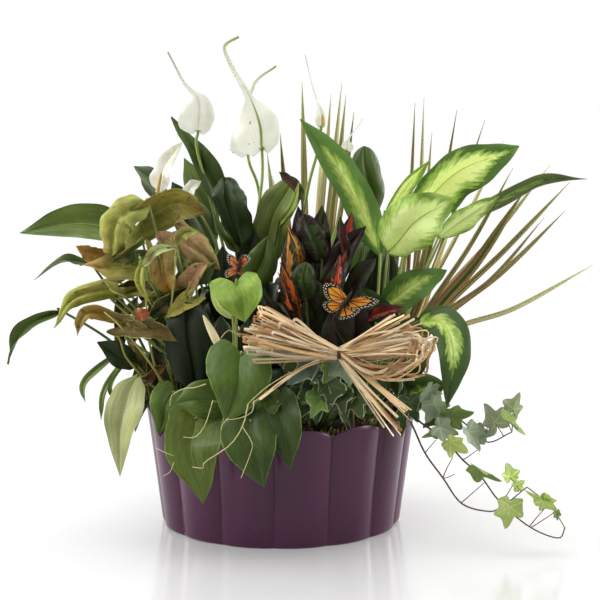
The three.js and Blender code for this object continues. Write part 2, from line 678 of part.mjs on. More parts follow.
const caneBack = spray(DUMBCANE.crown, 31, 2, {
  kind: "broad", azimuth: [2, 34], reach: [66, 78], height: [136, 156],
  width: [32, 38], droop: 12,
});
plant("dumb_cane", DUMBCANE.crown, [...leavesOf(DUMBCANE), ...caneBack], 0xa9c46a, 0.4);

function straps(p) {
  const root = V(p.crown[0], p.crown[1], STALK_ROOT);
  return p.straps.map(([width, roll, ...points]) => {
    return blade("strap", width, roll, 0, [root, ...points.map(sheet)]);
  });
}

plant("dragon_plant_right", DRAGON_RIGHT.crown, straps(DRAGON_RIGHT), 0x6d7140, 0.45);
plant("dragon_plant_mid", DRAGON_MID.crown, straps(DRAGON_MID), 0x6d7140, 0.45);

plant("ivy_centre", IVY.crown, leavesOf(IVY), 0x6b7f66, 0.5);

// Trailing ivy: stems over the rim, each leaf on a short stalk from its nearest stem.
const trailRoot = V(IVY_TRAIL.crown[0], IVY_TRAIL.crown[1], STALK_ROOT);
const trailLines = IVY_TRAIL.stems.map((stem) => [trailRoot, ...stem.map(sheet)]);
const trailSolids = trailLines.map((line) => {
  return rod(line, 1.4, 0.9, { sides: 3, steps: line.length + 2 });
});
for (const [width, across, down, depth, angle] of IVY_TRAIL.leaves) {
  const a = THREE.MathUtils.degToRad(angle);
  const at = (d) => sheet([across + d * Math.sin(a), down + d * Math.cos(a), depth - 6]);
  const throat = at(-width * 0.4);
  let best = null;
  for (const line of trailLines) {
    const path = curve(line);
    for (let k = 20; k <= 80; k++) {
      const p = path.getPoint(k / 80);
      if (!best || p.distanceTo(throat) < best.distanceTo(throat)) best = p;
    }
  }
  const away = best.clone().lerp(throat, 0.5);
  trailSolids.push(blade("ivy", width, 8, 10, [throat, at(0), at(width * 0.5)], {
    stalk: [best, away, throat],
    thick: 1,
  }));
}
plant("ivy_trailing", IVY_TRAIL.crown, trailSolids, 0x6f8a4e, 0.5);

// Raffia bow on its pick
const knot = sheet(KNOT);
const bowParts = LOOPS.map((points) => {
  const line = [knot, ...points.map(sheet), knot];
  return rod(line, STRAND_R, STRAND_R, { steps: 6, flat: STRAND_FLAT });
});
for (const points of TAILS) {
  const line = [knot, ...points.map(sheet)];
  bowParts.push(rod(line, STRAND_R, STRAND_R * 0.6, { steps: 4, flat: STRAND_FLAT }));
}
const knotEnds = [V(-KNOT_R, 0, 0), V(KNOT_R, 0, 0)].map((p) => p.add(knot));
bowParts.push(rod([knotEnds[0], knot, knotEnds[1]], KNOT_R, KNOT_R, { sides: 8, steps: 2 }));
const bowFoot = V(...BOW_FOOT, SOIL_TOP - PICK_DEPTH);
const bowRise = V(...BOW_FOOT, knot.z - 34);
const bowBend = bowRise.clone().lerp(knot, 0.3).setZ(knot.z - 8);
bowParts.push(rod([bowFoot, bowRise, bowBend, knot], PICK_R, PICK_R, { steps: 6 }));
holes.push({ at: BOW_FOOT, radius: PICK_R + 1 });
add("raffia_bow", union(bowParts), 0xcdb183, 0.8);

// A thin plate from an outline of front-sheet points, fanned from its middle.
function plate(outline) {
  const rim = outline.map(sheet);
  const hub = rim.reduce((sum, p) => sum.add(p), V(0, 0, 0)).divideScalar(rim.length);
  const flat = [...rim, hub];
  const n = flat.length;
  const shift = TO_EYE.clone().multiplyScalar(BLADE / 2);
  const points = [...flat.map((p) => p.clone().add(shift)), ...flat.map((p) => p.clone().sub(shift))];
  const faces = [];
  for (let k = 0; k < n - 1; k++) {
    const next = (k + 1) % (n - 1);
    faces.push([n - 1, k, next], [2 * n - 1, n + next, n + k]);
    faces.push([k, n + k, n + next], [k, n + next, next]);
  }
  return solid(points, faces);
}

// A butterfly: a pair of wings behind its body, which is on a wire pick.
function butterfly(name, { wings, body, drop, foot }) {
  add(`${name}_wings`, union(wings.map(plate)), 0xe0902c, 0.6);
  const [head, middle, tail, low] = [...body, drop].map(sheet);
  const trunk = rod([head, middle, tail], 1.3, 1, { sides: 6, steps: 3 });
  const end = V(foot[0], foot[1], SOIL_TOP - PICK_DEPTH);
  const knee = V(foot[0], foot[1], SOIL_TOP + (low.z - SOIL_TOP) * 0.55);
  holes.push({ at: foot, radius: WIRE_R * 3 });
  const wire = rod([end, knee, low, tail], WIRE_R, WIRE_R, { steps: 6 });
  add(`${name}_body`, union([trunk, wire]), 0x241a16, 0.6);
}
butterfly("butterfly_right", {
  wings: [
    [[349, 297, -104], [337, 285, -101], [324, 283, -98], [323, 293, -98], [322, 305, -98],
      [329, 313, -99], [336, 311, -101], [342, 309, -104]],
    [[348, 299, -104], [365, 296, -108], [380, 301, -111], [366, 308, -108], [353, 317, -106],
      [339, 320, -104], [341, 310, -104]],
  ],
  body: [[352, 291, -106.4], [346, 301, -106.2], [338, 311, -106.2]],
  drop: [334, 326, -106.5],
  foot: [76, -76],
});
butterfly("butterfly_left", {
  wings: [
    [[239, 265, -92], [234, 256, -89], [227, 254, -86], [229, 264, -86], [225, 271, -85],
      [226, 278, -85], [237, 272, -92]],
    [[237, 264, -92], [240, 257, -92.5], [246, 254, -94], [251, 258, -96], [247, 264, -95],
      [242, 268, -93], [242, 276, -92.5], [237, 274, -92]],
  ],
  body: [[241, 256, -95], [239, 265, -94.2], [236, 275, -94.1]],
  drop: [234, 288, -94],
  foot: [-20, -56],
});

// Soil: a low mound inside the pot, cut with a plain hole for each stem.
const SOIL_STEPS = POT_LOBES * 2;
const soilRing = (radius, bulge, z) => potRing(radius, bulge, z, 0, SOIL_STEPS);
const inWall = (inset, z) => soilRing(wallR(z) - POT_WALL - inset, bulgeAt(z), z);
let soil = stack(
  [
    soilRing(POT_BASE_R - POT_HEEL - 2, footBulge, POT_FLOOR + GAP),
    inWall(3, POT_HEEL + 1),
    inWall(1.2, SOIL_TOP - 2),
    soilRing(MOUND_R, 0, SOIL_TOP + SOIL_RISE * 0.3),
  ],
  V(0, 0, POT_FLOOR + GAP),
  V(0, 0, SOIL_TOP + SOIL_RISE * 0.6),
);
for (const { at, radius } of holes) {
  const low = V(at[0], at[1], SOIL_TOP - CROWN_DEPTH - GAP);
  const high = V(at[0], at[1], SOIL_TOP + CROWN_DEPTH);
  const wide = radius + GAP + 0.1;
  soil = soil.subtract(rod([low, high], wide, wide, { sides: 6, steps: 1 }));
}
add("soil", soil, 0x2b211a, 0.95);

export default group;
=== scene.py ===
"""A mixed foliage dish garden in a scalloped metal pot: its looks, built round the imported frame.

Blender works in metres. Shapes here are written in millimetres and scaled when a mesh is made.
Leaves are set out on a front sheet, as [across, down, depth]: across and down in millimetres
as an eye EYE away sees them, and depth behind (+) or before (-) the pot's axis.
"""

import math

import bpy
import numpy as np
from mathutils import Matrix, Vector


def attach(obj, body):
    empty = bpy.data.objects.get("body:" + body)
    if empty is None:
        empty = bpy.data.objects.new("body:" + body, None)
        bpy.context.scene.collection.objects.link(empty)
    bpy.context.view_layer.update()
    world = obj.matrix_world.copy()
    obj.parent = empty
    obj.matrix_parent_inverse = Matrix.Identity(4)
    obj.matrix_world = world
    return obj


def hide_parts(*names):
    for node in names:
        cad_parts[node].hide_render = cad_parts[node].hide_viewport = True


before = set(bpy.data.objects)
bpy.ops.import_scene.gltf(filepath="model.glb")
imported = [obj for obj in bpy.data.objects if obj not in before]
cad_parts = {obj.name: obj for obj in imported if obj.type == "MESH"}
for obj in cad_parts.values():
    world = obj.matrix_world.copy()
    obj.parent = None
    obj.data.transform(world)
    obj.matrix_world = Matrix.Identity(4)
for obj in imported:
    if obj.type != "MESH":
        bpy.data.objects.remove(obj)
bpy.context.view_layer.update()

MM = 0.001

# The eye, which the camera and the front sheet share: its distance, tilt and aim.
EYE = 1800
TILT = math.radians(7.7)
SHEET_MID = 300
AIM_X = 19.4
AIM_Z = 224
LENS = 108
SENSOR = 36
SIN = math.sin(TILT)
COS = math.cos(TILT)
TO_EYE = np.array([0, -COS, SIN])

# The pot: its radii, scallops, height and metal.
POT_BASE_R = 119
POT_RIM_R = 131.5
POT_LOBE = 3.8
POT_LOBES = 14
POT_HEIGHT = 118
POT_DIP = 9
POT_WALL = 1.6
POT_FLOOR = 2
POT_PHASE = math.radians(-2.5)
POT_HEEL = 8
FOOT_BULGE = 0.6

# The soil, and what stands in it.
SOIL_TOP = 98
SOIL_RISE = 8
CROWN_R = 6
STALK_R = 1.7
STALK_ROOT = SOIL_TOP + 6
PICK_DEPTH = 20
GAP = 0.3


def paint(code):
    """The linear colour of a hex code."""
    parts = [int(code[i : i + 2], 16) / 255 for i in (1, 3, 5)]
    return tuple(c / 12.92 if c < 0.04045 else ((c + 0.055) / 1.055) ** 2.4 for c in parts)


# ---------------------------------------------------------------- curves and tables


def sheet(point):
    """The place in the pot's frame of a point of the front sheet."""
    across, down, depth = point
    k = (SHEET_MID - down) / EYE
    rise = (k * (EYE + depth * COS) - depth * SIN) / (COS + k * SIN)
    reach = EYE + depth * COS - rise * SIN
    return np.array([AIM_X + (across - SHEET_MID) * reach / EYE, depth, AIM_Z + rise])


def sheets(points):
    """The places of several points of the front sheet."""
    return [sheet(p) for p in points]


def unit(v):
    """v, or each vector in it, made one long."""
    return v / np.maximum(np.linalg.norm(v, axis=-1, keepdims=True), 1e-9)


def spline(points, stations):
    """Places and unit tangents on a Catmull-Rom curve, at stations from 0 to 1."""
    p = np.array(points, float)
    q = np.vstack([2 * p[0] - p[1], p, 2 * p[-1] - p[-2]])
    f = np.clip(np.asarray(stations, float), 0, 1) * (len(p) - 1)
    i = np.minimum(f.astype(int), len(p) - 2)
    u = (f - i)[..., None]
    before, start, end, after = q[i], q[i + 1], q[i + 2], q[i + 3]
    m0 = (end - before) / 2
    m1 = (after - start) / 2
    c2 = -3 * start + 3 * end - 2 * m0 - m1
    c3 = 2 * start - 2 * end + m0 + m1
    return start + u * (m0 + u * (c2 + u * c3)), unit(m0 + u * (2 * c2 + 3 * u * c3))


def measure(points):
    """The length of a curve."""
    at, _ = spline(points, np.linspace(0, 1, 60))
    return float(np.linalg.norm(np.diff(at, axis=0), axis=1).sum())


def profile(stations, values):
    """A smooth curve through the knots that never overshoots them."""
    x, y = np.array(stations, float), np.array(values, float)
    slope = np.diff(y) / np.diff(x)
    m = np.zeros(len(x))
    both = slope[:-1] * slope[1:]
    m[1:-1] = np.where(both > 0, 2 * both / (slope[:-1] + slope[1:] + 1e-12), 0)
    m[0], m[-1] = slope[0], slope[-1]

    def at(s):
        i = np.clip(np.searchsorted(x, s, side="right") - 1, 0, len(x) - 2)
        h = x[i + 1] - x[i]
        u = (s - x[i]) / h
        rise = u * u * (3 - 2 * u)
        return y[i] + (y[i + 1] - y[i]) * rise + h * u * (1 - u) * ((1 - u) * m[i] - u * m[i + 1])

    return at


def seeded(seed):
    """A source of repeatable draws between two numbers."""
    state = seed

    def draw(low=0.0, high=1.0):
        nonlocal state
        state = (state * 1664525 + 1013904223) % 4294967296
        return low + (high - low) * state / 4294967296

    return draw


def turned(v, axis, angle):
    """v turned about a unit axis, by one angle or by one at each point."""
    angle = np.asarray(angle, float)[..., None]
    c, s = np.cos(angle), np.sin(angle)
    along = (v * axis).sum(-1, keepdims=True)
    return v * c + np.cross(axis, v) * s + axis * along * (1 - c)


# ---------------------------------------------------------------- meshes

TUBE_UP = (0.31, -0.9, 0.29)


class Batch:
    """Gathers shells and tubes into one mesh, with leaf coordinates and a tint at each point."""

    def __init__(self):
        self.points = []
        self.faces = []
        self.uv = []
        self.tint = []
        self.under = []
        self.slots = []
        self.count = 0

    def add(self, points, faces, uv, tint, under=0.0, slot=0):
        n = len(points)
        self.points.append(points)
        self.faces += [tuple(int(k) + self.count for k in f) for f in faces]
        self.uv.append(np.broadcast_to(uv, (n, 2)))
        self.tint.append(np.broadcast_to(tint, (n, 3)))
        self.under.append(np.broadcast_to(under, (n,)))
        self.slots += [slot] * len(faces)
        self.count += n

    def write_layers(self, mesh):
        """Writes the leaf coordinates, the tint, and which points are on an underside."""
        corner = np.empty(len(mesh.loops), np.int32)
        mesh.loops.foreach_get("vertex_index", corner)
        layer = mesh.uv_layers.new(name="UVMap")
        layer.data.foreach_set("uv", np.vstack(self.uv)[corner].ravel().astype(np.float32))
        tint = np.ones((self.count, 4), np.float32)
        tint[:, :3] = np.vstack(self.tint)
        mesh.attributes.new("tint", "FLOAT_COLOR", "POINT").data.foreach_set("color", tint.ravel())
        under = np.concatenate(self.under).astype(np.float32)
        mesh.attributes.new("under", "FLOAT", "POINT").data.foreach_set("value", under)

    def piece(self, node, looks, sharp=50):
        """Makes the fine object that stands for a CAD node, and hides the node."""
        name = node + "_fine"
        mesh = bpy.data.meshes.new(name)
        mesh.from_pydata((np.vstack(self.points) * MM).tolist(), [], self.faces)
        for look in looks:
            mesh.materials.append(LOOKS[look])
        mesh.polygons.foreach_set("material_index", self.slots)
        mesh.polygons.foreach_set("use_smooth", [True] * len(self.faces))
        self.write_layers(mesh)
        mesh.update()
        mesh.set_sharp_from_angle(angle=math.radians(sharp))
        made = bpy.data.objects.new(name, mesh)
        bpy.context.scene.collection.objects.link(made)
        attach(made, "root")
        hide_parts(node)


def closed(grid):
    """A grid of point numbers whose last column meets its first."""
    return np.concatenate([grid, grid[:, :1]], axis=1)


def quads(grid):
    """The four corners of each cell of a grid of point numbers."""
    cells = [grid[:-1, :-1], grid[:-1, 1:], grid[1:, 1:], grid[1:, :-1]]
    return np.stack(cells, -1).reshape(-1, 4)


def shell(batch, top, under, uv, tint, slot=0):
    """Closes two like grids of points, one over the other, into a thin body."""
    rows, columns = top.shape[:2]
    n = rows * columns
    grid = np.arange(n).reshape(rows, columns)
    upper = quads(grid)
    lower = upper[:, [0, 3, 2, 1]] + n
    rim = np.concatenate([grid[0], grid[1:, -1], grid[-1, -2::-1], grid[-2:0:-1, 0]])
    ahead = np.roll(rim, -1)
    side = np.stack([rim + n, ahead + n, ahead, rim], -1)
    points = np.vstack([top.reshape(-1, 3), under.reshape(-1, 3)])
    uv = np.vstack([uv.reshape(-1, 2)] * 2)
    tint = np.vstack([np.broadcast_to(tint, top.shape).reshape(-1, 3)] * 2)
    below = np.repeat([0.0, 1.0], n)
    batch.add(points, np.vstack([upper, lower, side]), uv, tint, below, slot)


def disc(batch, top, under, uv, tint):
    """Closes two like sets of rings into a thin round body. The innermost rings are single points."""
    count = top.shape[1]
    n = top.shape[0] * count
    grid = closed(np.arange(n).reshape(-1, count))
    upper = quads(grid)
    rim = grid[-1]
    side = np.stack([rim[:-1], rim[1:], rim[1:] + n, rim[:-1] + n], -1)
    faces = []
    for quad in np.vstack([upper, upper[:, ::-1] + n, side]):
        corners = [0 if k < count else (n if n <= k < n + count else k) for k in quad]
        faces.append([k for j, k in enumerate(corners) if k != corners[j - 1]])
    used = sorted({k for f in faces for k in f})
    renumber = {k: j for j, k in enumerate(used)}
    faces = [tuple(renumber[k] for k in f)[::-1] for f in faces]
    points = np.vstack([top.reshape(-1, 3), under.reshape(-1, 3)])[used]
    uv = np.vstack([uv.reshape(-1, 2)] * 2)[used]
    below = np.repeat([0.0, 1.0], n)[used]
    batch.add(points, faces, uv, tint, below)


def stack(batch, rings, low, high, uv=(0, 0), tint=(1, 1, 1), slot=0):
    """Joins rings of points into a body, closed by a fan at each end."""
    count = len(rings[0])
    points = np.vstack(rings + [[low], [high]])
    grid = closed(np.arange(len(rings) * count).reshape(-1, count))
    end = len(points)
    faces = [tuple(f) for f in quads(grid)]
    faces += [(end - 2, grid[0, k + 1], grid[0, k]) for k in range(count)]
    faces += [(end - 1, grid[-1, k], grid[-1, k + 1]) for k in range(count)]
    batch.add(points, faces, uv, tint, slot=slot)


def tube(batch, path, radii, tint, sides=7, steps=None, flat=1.0, slot=0, twist=0.0, start=TUBE_UP):
    """A closed round or flat tube. radii is a pair, or a function of the station."""
    steps = steps or max(4, int(measure(path) / 6))
    s = np.linspace(0, 1, steps + 1)
    at, along = spline(path, s)
    radius = radii(s) if callable(radii) else radii[0] + (radii[1] - radii[0]) * s
    normal = np.array(start, float)
    angle = 2 * math.pi * (np.arange(sides) + 0.5) / sides
    rings = []
    for i in range(steps + 1):
        normal = unit(normal - along[i] * (normal @ along[i]))
        up = turned(normal, along[i], twist * s[i])
        side = np.cross(along[i], up)
        section = np.outer(np.cos(angle), side) + np.outer(np.sin(angle), up) * flat
        rings.append(at[i] + section * radius[i])
    around = np.tile(np.abs(np.linspace(-1, 1, sides)), steps + 1)
    uv = np.column_stack([np.append(around, [0.5, 0.5]), np.append(np.repeat(s, sides), [0, 1])])
    stack(batch, rings, at[0], at[-1], uv, tint, slot)


# ---------------------------------------------------------------- leaves

# A blade: half its thickness, the distance between its rows of points, the fewest and the most
# rows, its least half width, the groove along its midrib and the rib below that, and its columns
# from edge to edge.
LEAF_HALF = 0.22
ROW_STEP = 2.4
ROW_COUNTS = (16, 54)
NARROWEST = 0.25
GROOVE_HALF = 1.1
GROOVE_DEPTH = 0.45
RIB_DEPTH = 0.5
LEFT_COLUMNS = np.array([-1, -0.96, -0.86, -0.7, -0.5, -0.3, -0.14, -0.05])
COLUMNS = np.concatenate([LEFT_COLUMNS, [0], -LEFT_COLUMNS[::-1]])

# Half widths at stations along the midrib, how far the base reaches back past the throat as
# a share of the length, side veins a leaf, how far they lean forward, their relief, and how
# crumpled the blade is.
FORMS = {
    "lance": dict(
        s=[0, 0.2, 0.46, 0.76, 1], w=[0.14, 0.78, 1, 0.64, 0.02], ears=0, veins=13, lean=0.16, relief=0.13
    ),
    "broad": dict(
        s=[0, 0.13, 0.34, 0.6, 0.83, 1], w=[0.2, 0.8, 1, 0.9, 0.5, 0.02], ears=0, veins=15, lean=0.14,
        relief=0.15,
    ),
    "round": dict(
        s=[0, 0.13, 0.36, 0.66, 0.88, 0.96, 1], w=[0.2, 0.78, 1, 0.96, 0.68, 0.4, 0.06], ears=0, veins=15,
        lean=0.14, relief=0.15,
    ),
    "spathe": dict(
        s=[0, 0.06, 0.17, 0.28, 0.36, 0.43, 0.7, 1], w=[0.4, 0.88, 1, 0.86, 0.5, 0.16, 0.085, 0.05],
        ears=0.05, veins=9, lean=0.3, relief=0.1,
    ),
    "heart": dict(
        s=[0, 0.1, 0.28, 0.52, 0.8, 1], w=[0.62, 0.95, 1, 0.84, 0.4, 0.01], ears=0.17, veins=6, lean=0.4,
        relief=0.35,
    ),
    "arrow": dict(
        s=[0, 0.2, 0.46, 0.76, 1], w=[0.84, 0.88, 0.76, 0.44, 0.02], ears=0.42, veins=7, lean=0.28,
        relief=0.5, crumple=1.0,
    ),
    "strap": dict(
        s=[0, 0.4, 0.76, 1], w=[0.4, 1, 0.8, 0.03], ears=0, veins=0, lean=0, relief=0
    ),
}


def placer(path, roll, fold, width, facing=TO_EYE, twist=0.0, sway=0.0):
    """Puts points of a flat leaf, given across in mm and along as a share, on its folded form."""
    length = measure(path)
    tilt = math.radians(fold)
    soft = 0.05 * width

    def place(x, s, lift=0.0):
        x, s, lift = np.broadcast_arrays(np.asarray(x, float), s, lift)
        inside = np.clip(s, 0, 1)
        at, along = spline(path, inside)
        at = at + along * ((s - inside) * length)[..., None]
        up = unit(facing - along * (along @ facing)[..., None])
        up = turned(up, along, np.radians(roll + twist * (inside - 0.5)))
        side = np.cross(along, up)
        rise = (np.sqrt(x * x + soft * soft) - soft) * math.sin(tilt) + lift
        across = x * math.cos(tilt) + sway * np.sin(math.pi * inside) * np.sin(5 * inside + sway)
        return at + side * across[..., None] + up * rise[..., None]

    return place


def half_width(form, width, bias, ragged, s, t, phase):
    """Half the width of a blade at each point, with an edge that is nicked a little."""
    side = np.sign(t)
    half = np.maximum(width / 2 * profile(form["s"], form["w"])(s), NARROWEST) * (1 + bias * side)
    nick = np.sin(s * 13 + phase[2] + 2 * side) + 0.7 * np.sin(s * 31 + phase[3] - side)
    return half * (1 + ragged * nick)


def surface_lift(form, s, t, half, back, groove, phase, curl, wave=0.0, ruffle=0.03, relief=1.0,
                 crumple=None):
    """How far a blade rises from its fold: waves, ripples, blisters, curl, groove and veins."""
    out = np.abs(t)
    fullness = np.clip(half / 12, 0, 1)
    knots = np.interp(s, form["s"], np.arange(len(form["s"])))
    lift = wave * out * np.sin(knots * 2.6 + np.sign(t) * out)
    ripple = np.sin(s * 9 + phase[0] + t) + 0.6 * np.sin(s * 17 + phase[1] - 2 * t)
    lift = lift + ruffle * half * 2 * out**2 * ripple
    crumple = form.get("crumple", 0) if crumple is None else crumple
    blister = np.sin(s * 21 + 3 * t + phase[2]) * np.sin(9 * s - 5 * t + phase[3])
    lift = lift + crumple * blister * fullness
    lift = lift + (curl + 0.16) * half * (out - out**2)
    lift = lift - curl * half * out**2
    lift = lift - GROOVE_DEPTH * groove * np.clip(half / 8, 0, 1)
    if form["veins"]:
        turn = 2 * math.pi * form["veins"] * (s - back - form["lean"] * out**1.25)
        lift = lift + relief * form["relief"] * np.cos(turn) * 4 * out * (1 - out) * fullness
    return lift


def grow(batch, kind, width, roll, fold, path, tint, facing=TO_EYE, seed=0, slot=0, tip=None,
         tip_power=1.4, vary=0.16, twist=None, bias=None, curl=None, ragged=0.018, **surface):
    """A blade with its midrib groove, side veins in relief and a wavy edge, no two alike."""
    form = FORMS[kind]
    rng = np.random.default_rng(seed)
    usual = rng.uniform(-1, 1, 3)
    bias = 0.08 * usual[0] if bias is None else bias
    curl = 0.12 + 0.2 * usual[1] if curl is None else curl
    twist = 20 * usual[2] if twist is None else twist
    phase = rng.uniform(0, 6.28, 4)
    s = np.linspace(0, 1, int(np.clip(measure(path) / ROW_STEP, *ROW_COUNTS)))[:, None]
    t = COLUMNS[None, :]
    out = np.abs(t)
    half = half_width(form, width, bias, ragged, s, t, phase)
    back = form["ears"] * np.clip(1 - s / 0.4, 0, 1) * (1.45 * out**0.8 - 0.45 * out**5)
    groove = np.exp(-((t * half / GROOVE_HALF) ** 2))
    lift = surface_lift(form, s, t, half, back, groove, phase, curl, **surface)
    sway = width * rng.uniform(-0.07, 0.07)
    place = placer(path, roll, fold, width, facing, twist, sway)
    thin = LEAF_HALF * (1 - 0.6 * out**6) + RIB_DEPTH * groove * (1 - s) ** 2 * np.clip(half / 10, 0, 1)
    top = place(t * half, s - back, lift + LEAF_HALF)
    under = place(t * half, s - back, lift - thin)
    uv = np.stack(np.broadcast_arrays((t + 1) / 2, s), -1)
    shade = np.array(tint)[None, None, :]
    if tip is not None:
        shade = shade + (np.array(tip) - np.array(tint)) * (s[..., None] ** tip_power)
    shade = np.broadcast_to(shade, top.shape) * rng.uniform(1 - vary, 1 + vary)
    shell(batch, top, under, uv, shade, slot)


def stalked(batch, crown, kind, width, roll, fold, path, tint, stem, **more):
    """A leaf whose stalk rises from its crown in the soil."""
    throat = path[0]
    away = np.array([throat[0] - crown[0], throat[1] - crown[1], 0])
    start = unit(away) * CROWN_R * 0.5 + [crown[0], crown[1], STALK_ROOT]
    bend = (start + throat) / 2
    bend[2] += 0.14 * np.hypot(throat[0] - start[0], throat[1] - start[1])
    _, along = spline(path, np.array([0.0]))
    join = throat + along[0] * 1.5
    tube(batch, [start, bend, throat, join], (STALK_R, STALK_R * 0.55), stem, slot=1)
    grow(batch, kind, width, roll, fold, path, tint, **more)


def spray(batch, crown, seed, count, kind, azimuth, reach, height, width, droop, tint, stem,
          hang=False):
    """Leaves placed by rule in two tiers, inside the planting and where the front sheet ends."""
    draw = seeded(seed)
    foot = np.array([crown[0], crown[1], 0])
    for i in range(count):
        a = math.radians(azimuth[0] + (azimuth[1] - azimuth[0]) * (i + 0.5) / count)
        tier = (i % 2) * 0.75 + draw(0, 0.25)
        far = reach[0] + (reach[1] - reach[0]) * (tier if hang else 1 - tier * 0.8)
        high = height[0] + (height[1] - height[0]) * tier
        size = draw(*width)
        along = np.array([math.cos(a), math.sin(a), 0])
        shares = [(0.62, high), (1, high - 20)] if hang else [(0.42, high * 0.86), (0.72, high)]
        path = [foot + along * far * r + [0, 0, z] for r, z in shares]
        path.append(foot + along * (far + 4 * hang) + [0, 0, high - droop])
        facing = unit(along + [0, 0, 0.5 if hang else 2.6])
        roll = draw(-SPRAY_ROLL, SPRAY_ROLL)
        stalked(batch, crown, kind, size, roll, SPRAY_FOLD, path, tint, stem, facing=facing,
                seed=seed + i)


# ---------------------------------------------------------------- materials


# The scale of the finest grain, the tint of the warm clouds on a leaf, its dry spots, and the two
# rows of dots on a wing: how many, how far out, and how large.
FINE_GRAIN = 900
WARM_CLOUD = (1.3, 1.12, 0.75)
DRY_SPOT = paint("#4f331c")
WING_BEADS = ((14.0, 0.86, 0.035), (20.0, 0.95, 0.03))


class Look:
    """A procedural material, with short names for the nodes it is wired from."""

    def __init__(self, name, roughness=0.5, coat=0.0, coat_roughness=0.2, specular=0.2):
        self.material = bpy.data.materials.new(name)
        self.material.use_nodes = True
        self.tree = self.material.node_tree
        self.shader = self.tree.nodes["Principled BSDF"]
        self.end = self.tree.nodes["Material Output"]
        self.shader.inputs["Roughness"].default_value = roughness
        self.shader.inputs["Coat Weight"].default_value = coat
        self.shader.inputs["Coat Roughness"].default_value = coat_roughness
        self.shader.inputs["Specular IOR Level"].default_value = specular

    def node(self, kind, **settings):
        """A new shader node of a kind, with its settings."""
        made = self.tree.nodes.new("ShaderNode" + kind)
        for key, value in settings.items():
            setattr(made, key, value)
        return made

    def feed(self, socket, value):
        """Gives a socket a link, a colour or a number."""
        if isinstance(value, bpy.types.NodeSocket):
            self.tree.links.new(value, socket)
        elif socket.type == "RGBA":
            socket.default_value = (*value, 1)
        else:
            socket.default_value = value

    def math(self, operation, *inputs):
        """The output of a math node."""
        made = self.node("Math", operation=operation)
        for socket, value in zip(made.inputs, inputs):
            self.feed(socket, value)
        return made.outputs[0]

    def add(self, a, b):
        return self.math("ADD", a, b)

    def times(self, a, b):
        return self.math("MULTIPLY", a, b)

    def minus(self, a, b):
        return self.math("SUBTRACT", a, b)

    def step(self, value, low, high):
        """0 below low, 1 above high, and smooth between them."""
        made = self.node("MapRange", interpolation_type="SMOOTHSTEP")
        for socket, given in zip(made.inputs, (value, low, high)):
            self.feed(socket, given)
        return made.outputs[0]

    def ease(self, value, low, high):
        """low where the value is 0, high where it is 1, and straight between them."""
        made = self.node("MapRange")
        for socket, given in zip(list(made.inputs)[:5], (value, 0.0, 1.0, low, high)):
            self.feed(socket, given)
        return made.outputs[0]

    def mix(self, share, a, b, blend="MIX"):
        """Colour a, with a share of colour b laid over it."""
        made = self.node("Mix", data_type="RGBA", blend_type=blend)
        self.feed(made.inputs[0], share)
        self.feed(made.inputs[6], a)
        self.feed(made.inputs[7], b)
        return made.outputs[2]

    def scaled(self, colour, amount):
        """A colour times a number."""
        made = self.node("VectorMath", operation="SCALE")
        self.feed(made.inputs[0], colour)
        self.feed(made.inputs[3], amount)
        return made.outputs[0]

    def vector(self, x, y, z):
        made = self.node("CombineXYZ")
        for socket, value in zip(made.inputs, (x, y, z)):
            self.feed(socket, value)
        return made.outputs[0]

    def noise(self, scale, detail=3.0, vector=None, stretch=None, roughness=0.5):
        made = self.node("TexNoise")
        made.inputs["Scale"].default_value = scale
        made.inputs["Detail"].default_value = detail
        made.inputs["Roughness"].default_value = roughness
        where = vector if vector is not None else self.node("TexCoord").outputs["Object"]
        if stretch:
            mapping = self.node("Mapping")
            mapping.inputs["Scale"].default_value = stretch
            self.feed(mapping.inputs["Vector"], where)
            where = mapping.outputs[0]
        self.feed(made.inputs["Vector"], where)
        return made.outputs["Fac"]

    def uv(self):
        """Coordinates across, along, and the distance from the midrib from 0 to 1."""
        vector = self.node("UVMap", uv_map="UVMap").outputs[0]
        parts = self.node("SeparateXYZ")
        self.feed(parts.inputs[0], vector)
        u, v = parts.outputs[0], parts.outputs[1]
        off = self.math("ABSOLUTE", self.minus(self.times(u, 2.0), 1.0))
        return vector, u, v, off

    def attribute(self, name, output="Color"):
        """A layer that was written at the points of the mesh."""
        return self.node("Attribute", attribute_name=name).outputs[output]

    def bump(self, height, distance, strength):
        """Bumps as high as distance, in millimetres, wired to the surface."""
        made = self.node("Bump")
        made.inputs["Strength"].default_value = strength
        made.inputs["Distance"].default_value = distance * MM
        self.feed(made.inputs["Height"], height)
        self.feed(self.shader.inputs["Normal"], made.outputs[0])
        return made.outputs[0]

    def finish(self, colour, glow=0.0, glow_tint=(1, 1, 1), normal=None):
        """Wires the colour, and lets some light through a thin blade."""
        self.feed(self.shader.inputs["Base Color"], colour)
        if glow:
            through = self.node("BsdfTranslucent")
            self.feed(through.inputs["Color"], self.mix(1.0, colour, glow_tint, "MULTIPLY"))
            if normal is not None:
                self.feed(through.inputs["Normal"], normal)
            both = self.node("MixShader")
            both.inputs[0].default_value = glow
            self.feed(both.inputs[1], self.shader.outputs[0])
            self.feed(both.inputs[2], through.outputs[0])
            self.feed(self.end.inputs["Surface"], both.outputs[0])
        return self.material


def vein_lines(look, v, off, count, lean, width):
    """Side veins that run out from the midrib and forward, as a mask of thin lines."""
    ahead = look.times(look.math("POWER", off, 1.25), lean)
    phase = look.times(look.minus(v, ahead), float(count))
    near = look.math("ABSOLUTE", look.minus(look.math("FRACT", phase), 0.5))
    line = look.step(near, 0.5 - width, 0.5)
    fade = look.minus(1.0, look.step(off, 0.7, 0.98))
    return look.times(line, fade), phase


def midrib_line(look, v, off, width):
    """A line along the midrib that thins to the tip."""
    wide = look.ease(v, width, width * 0.35)
    return look.minus(1.0, look.step(look.math("DIVIDE", off, wide), 0.35, 1.0))


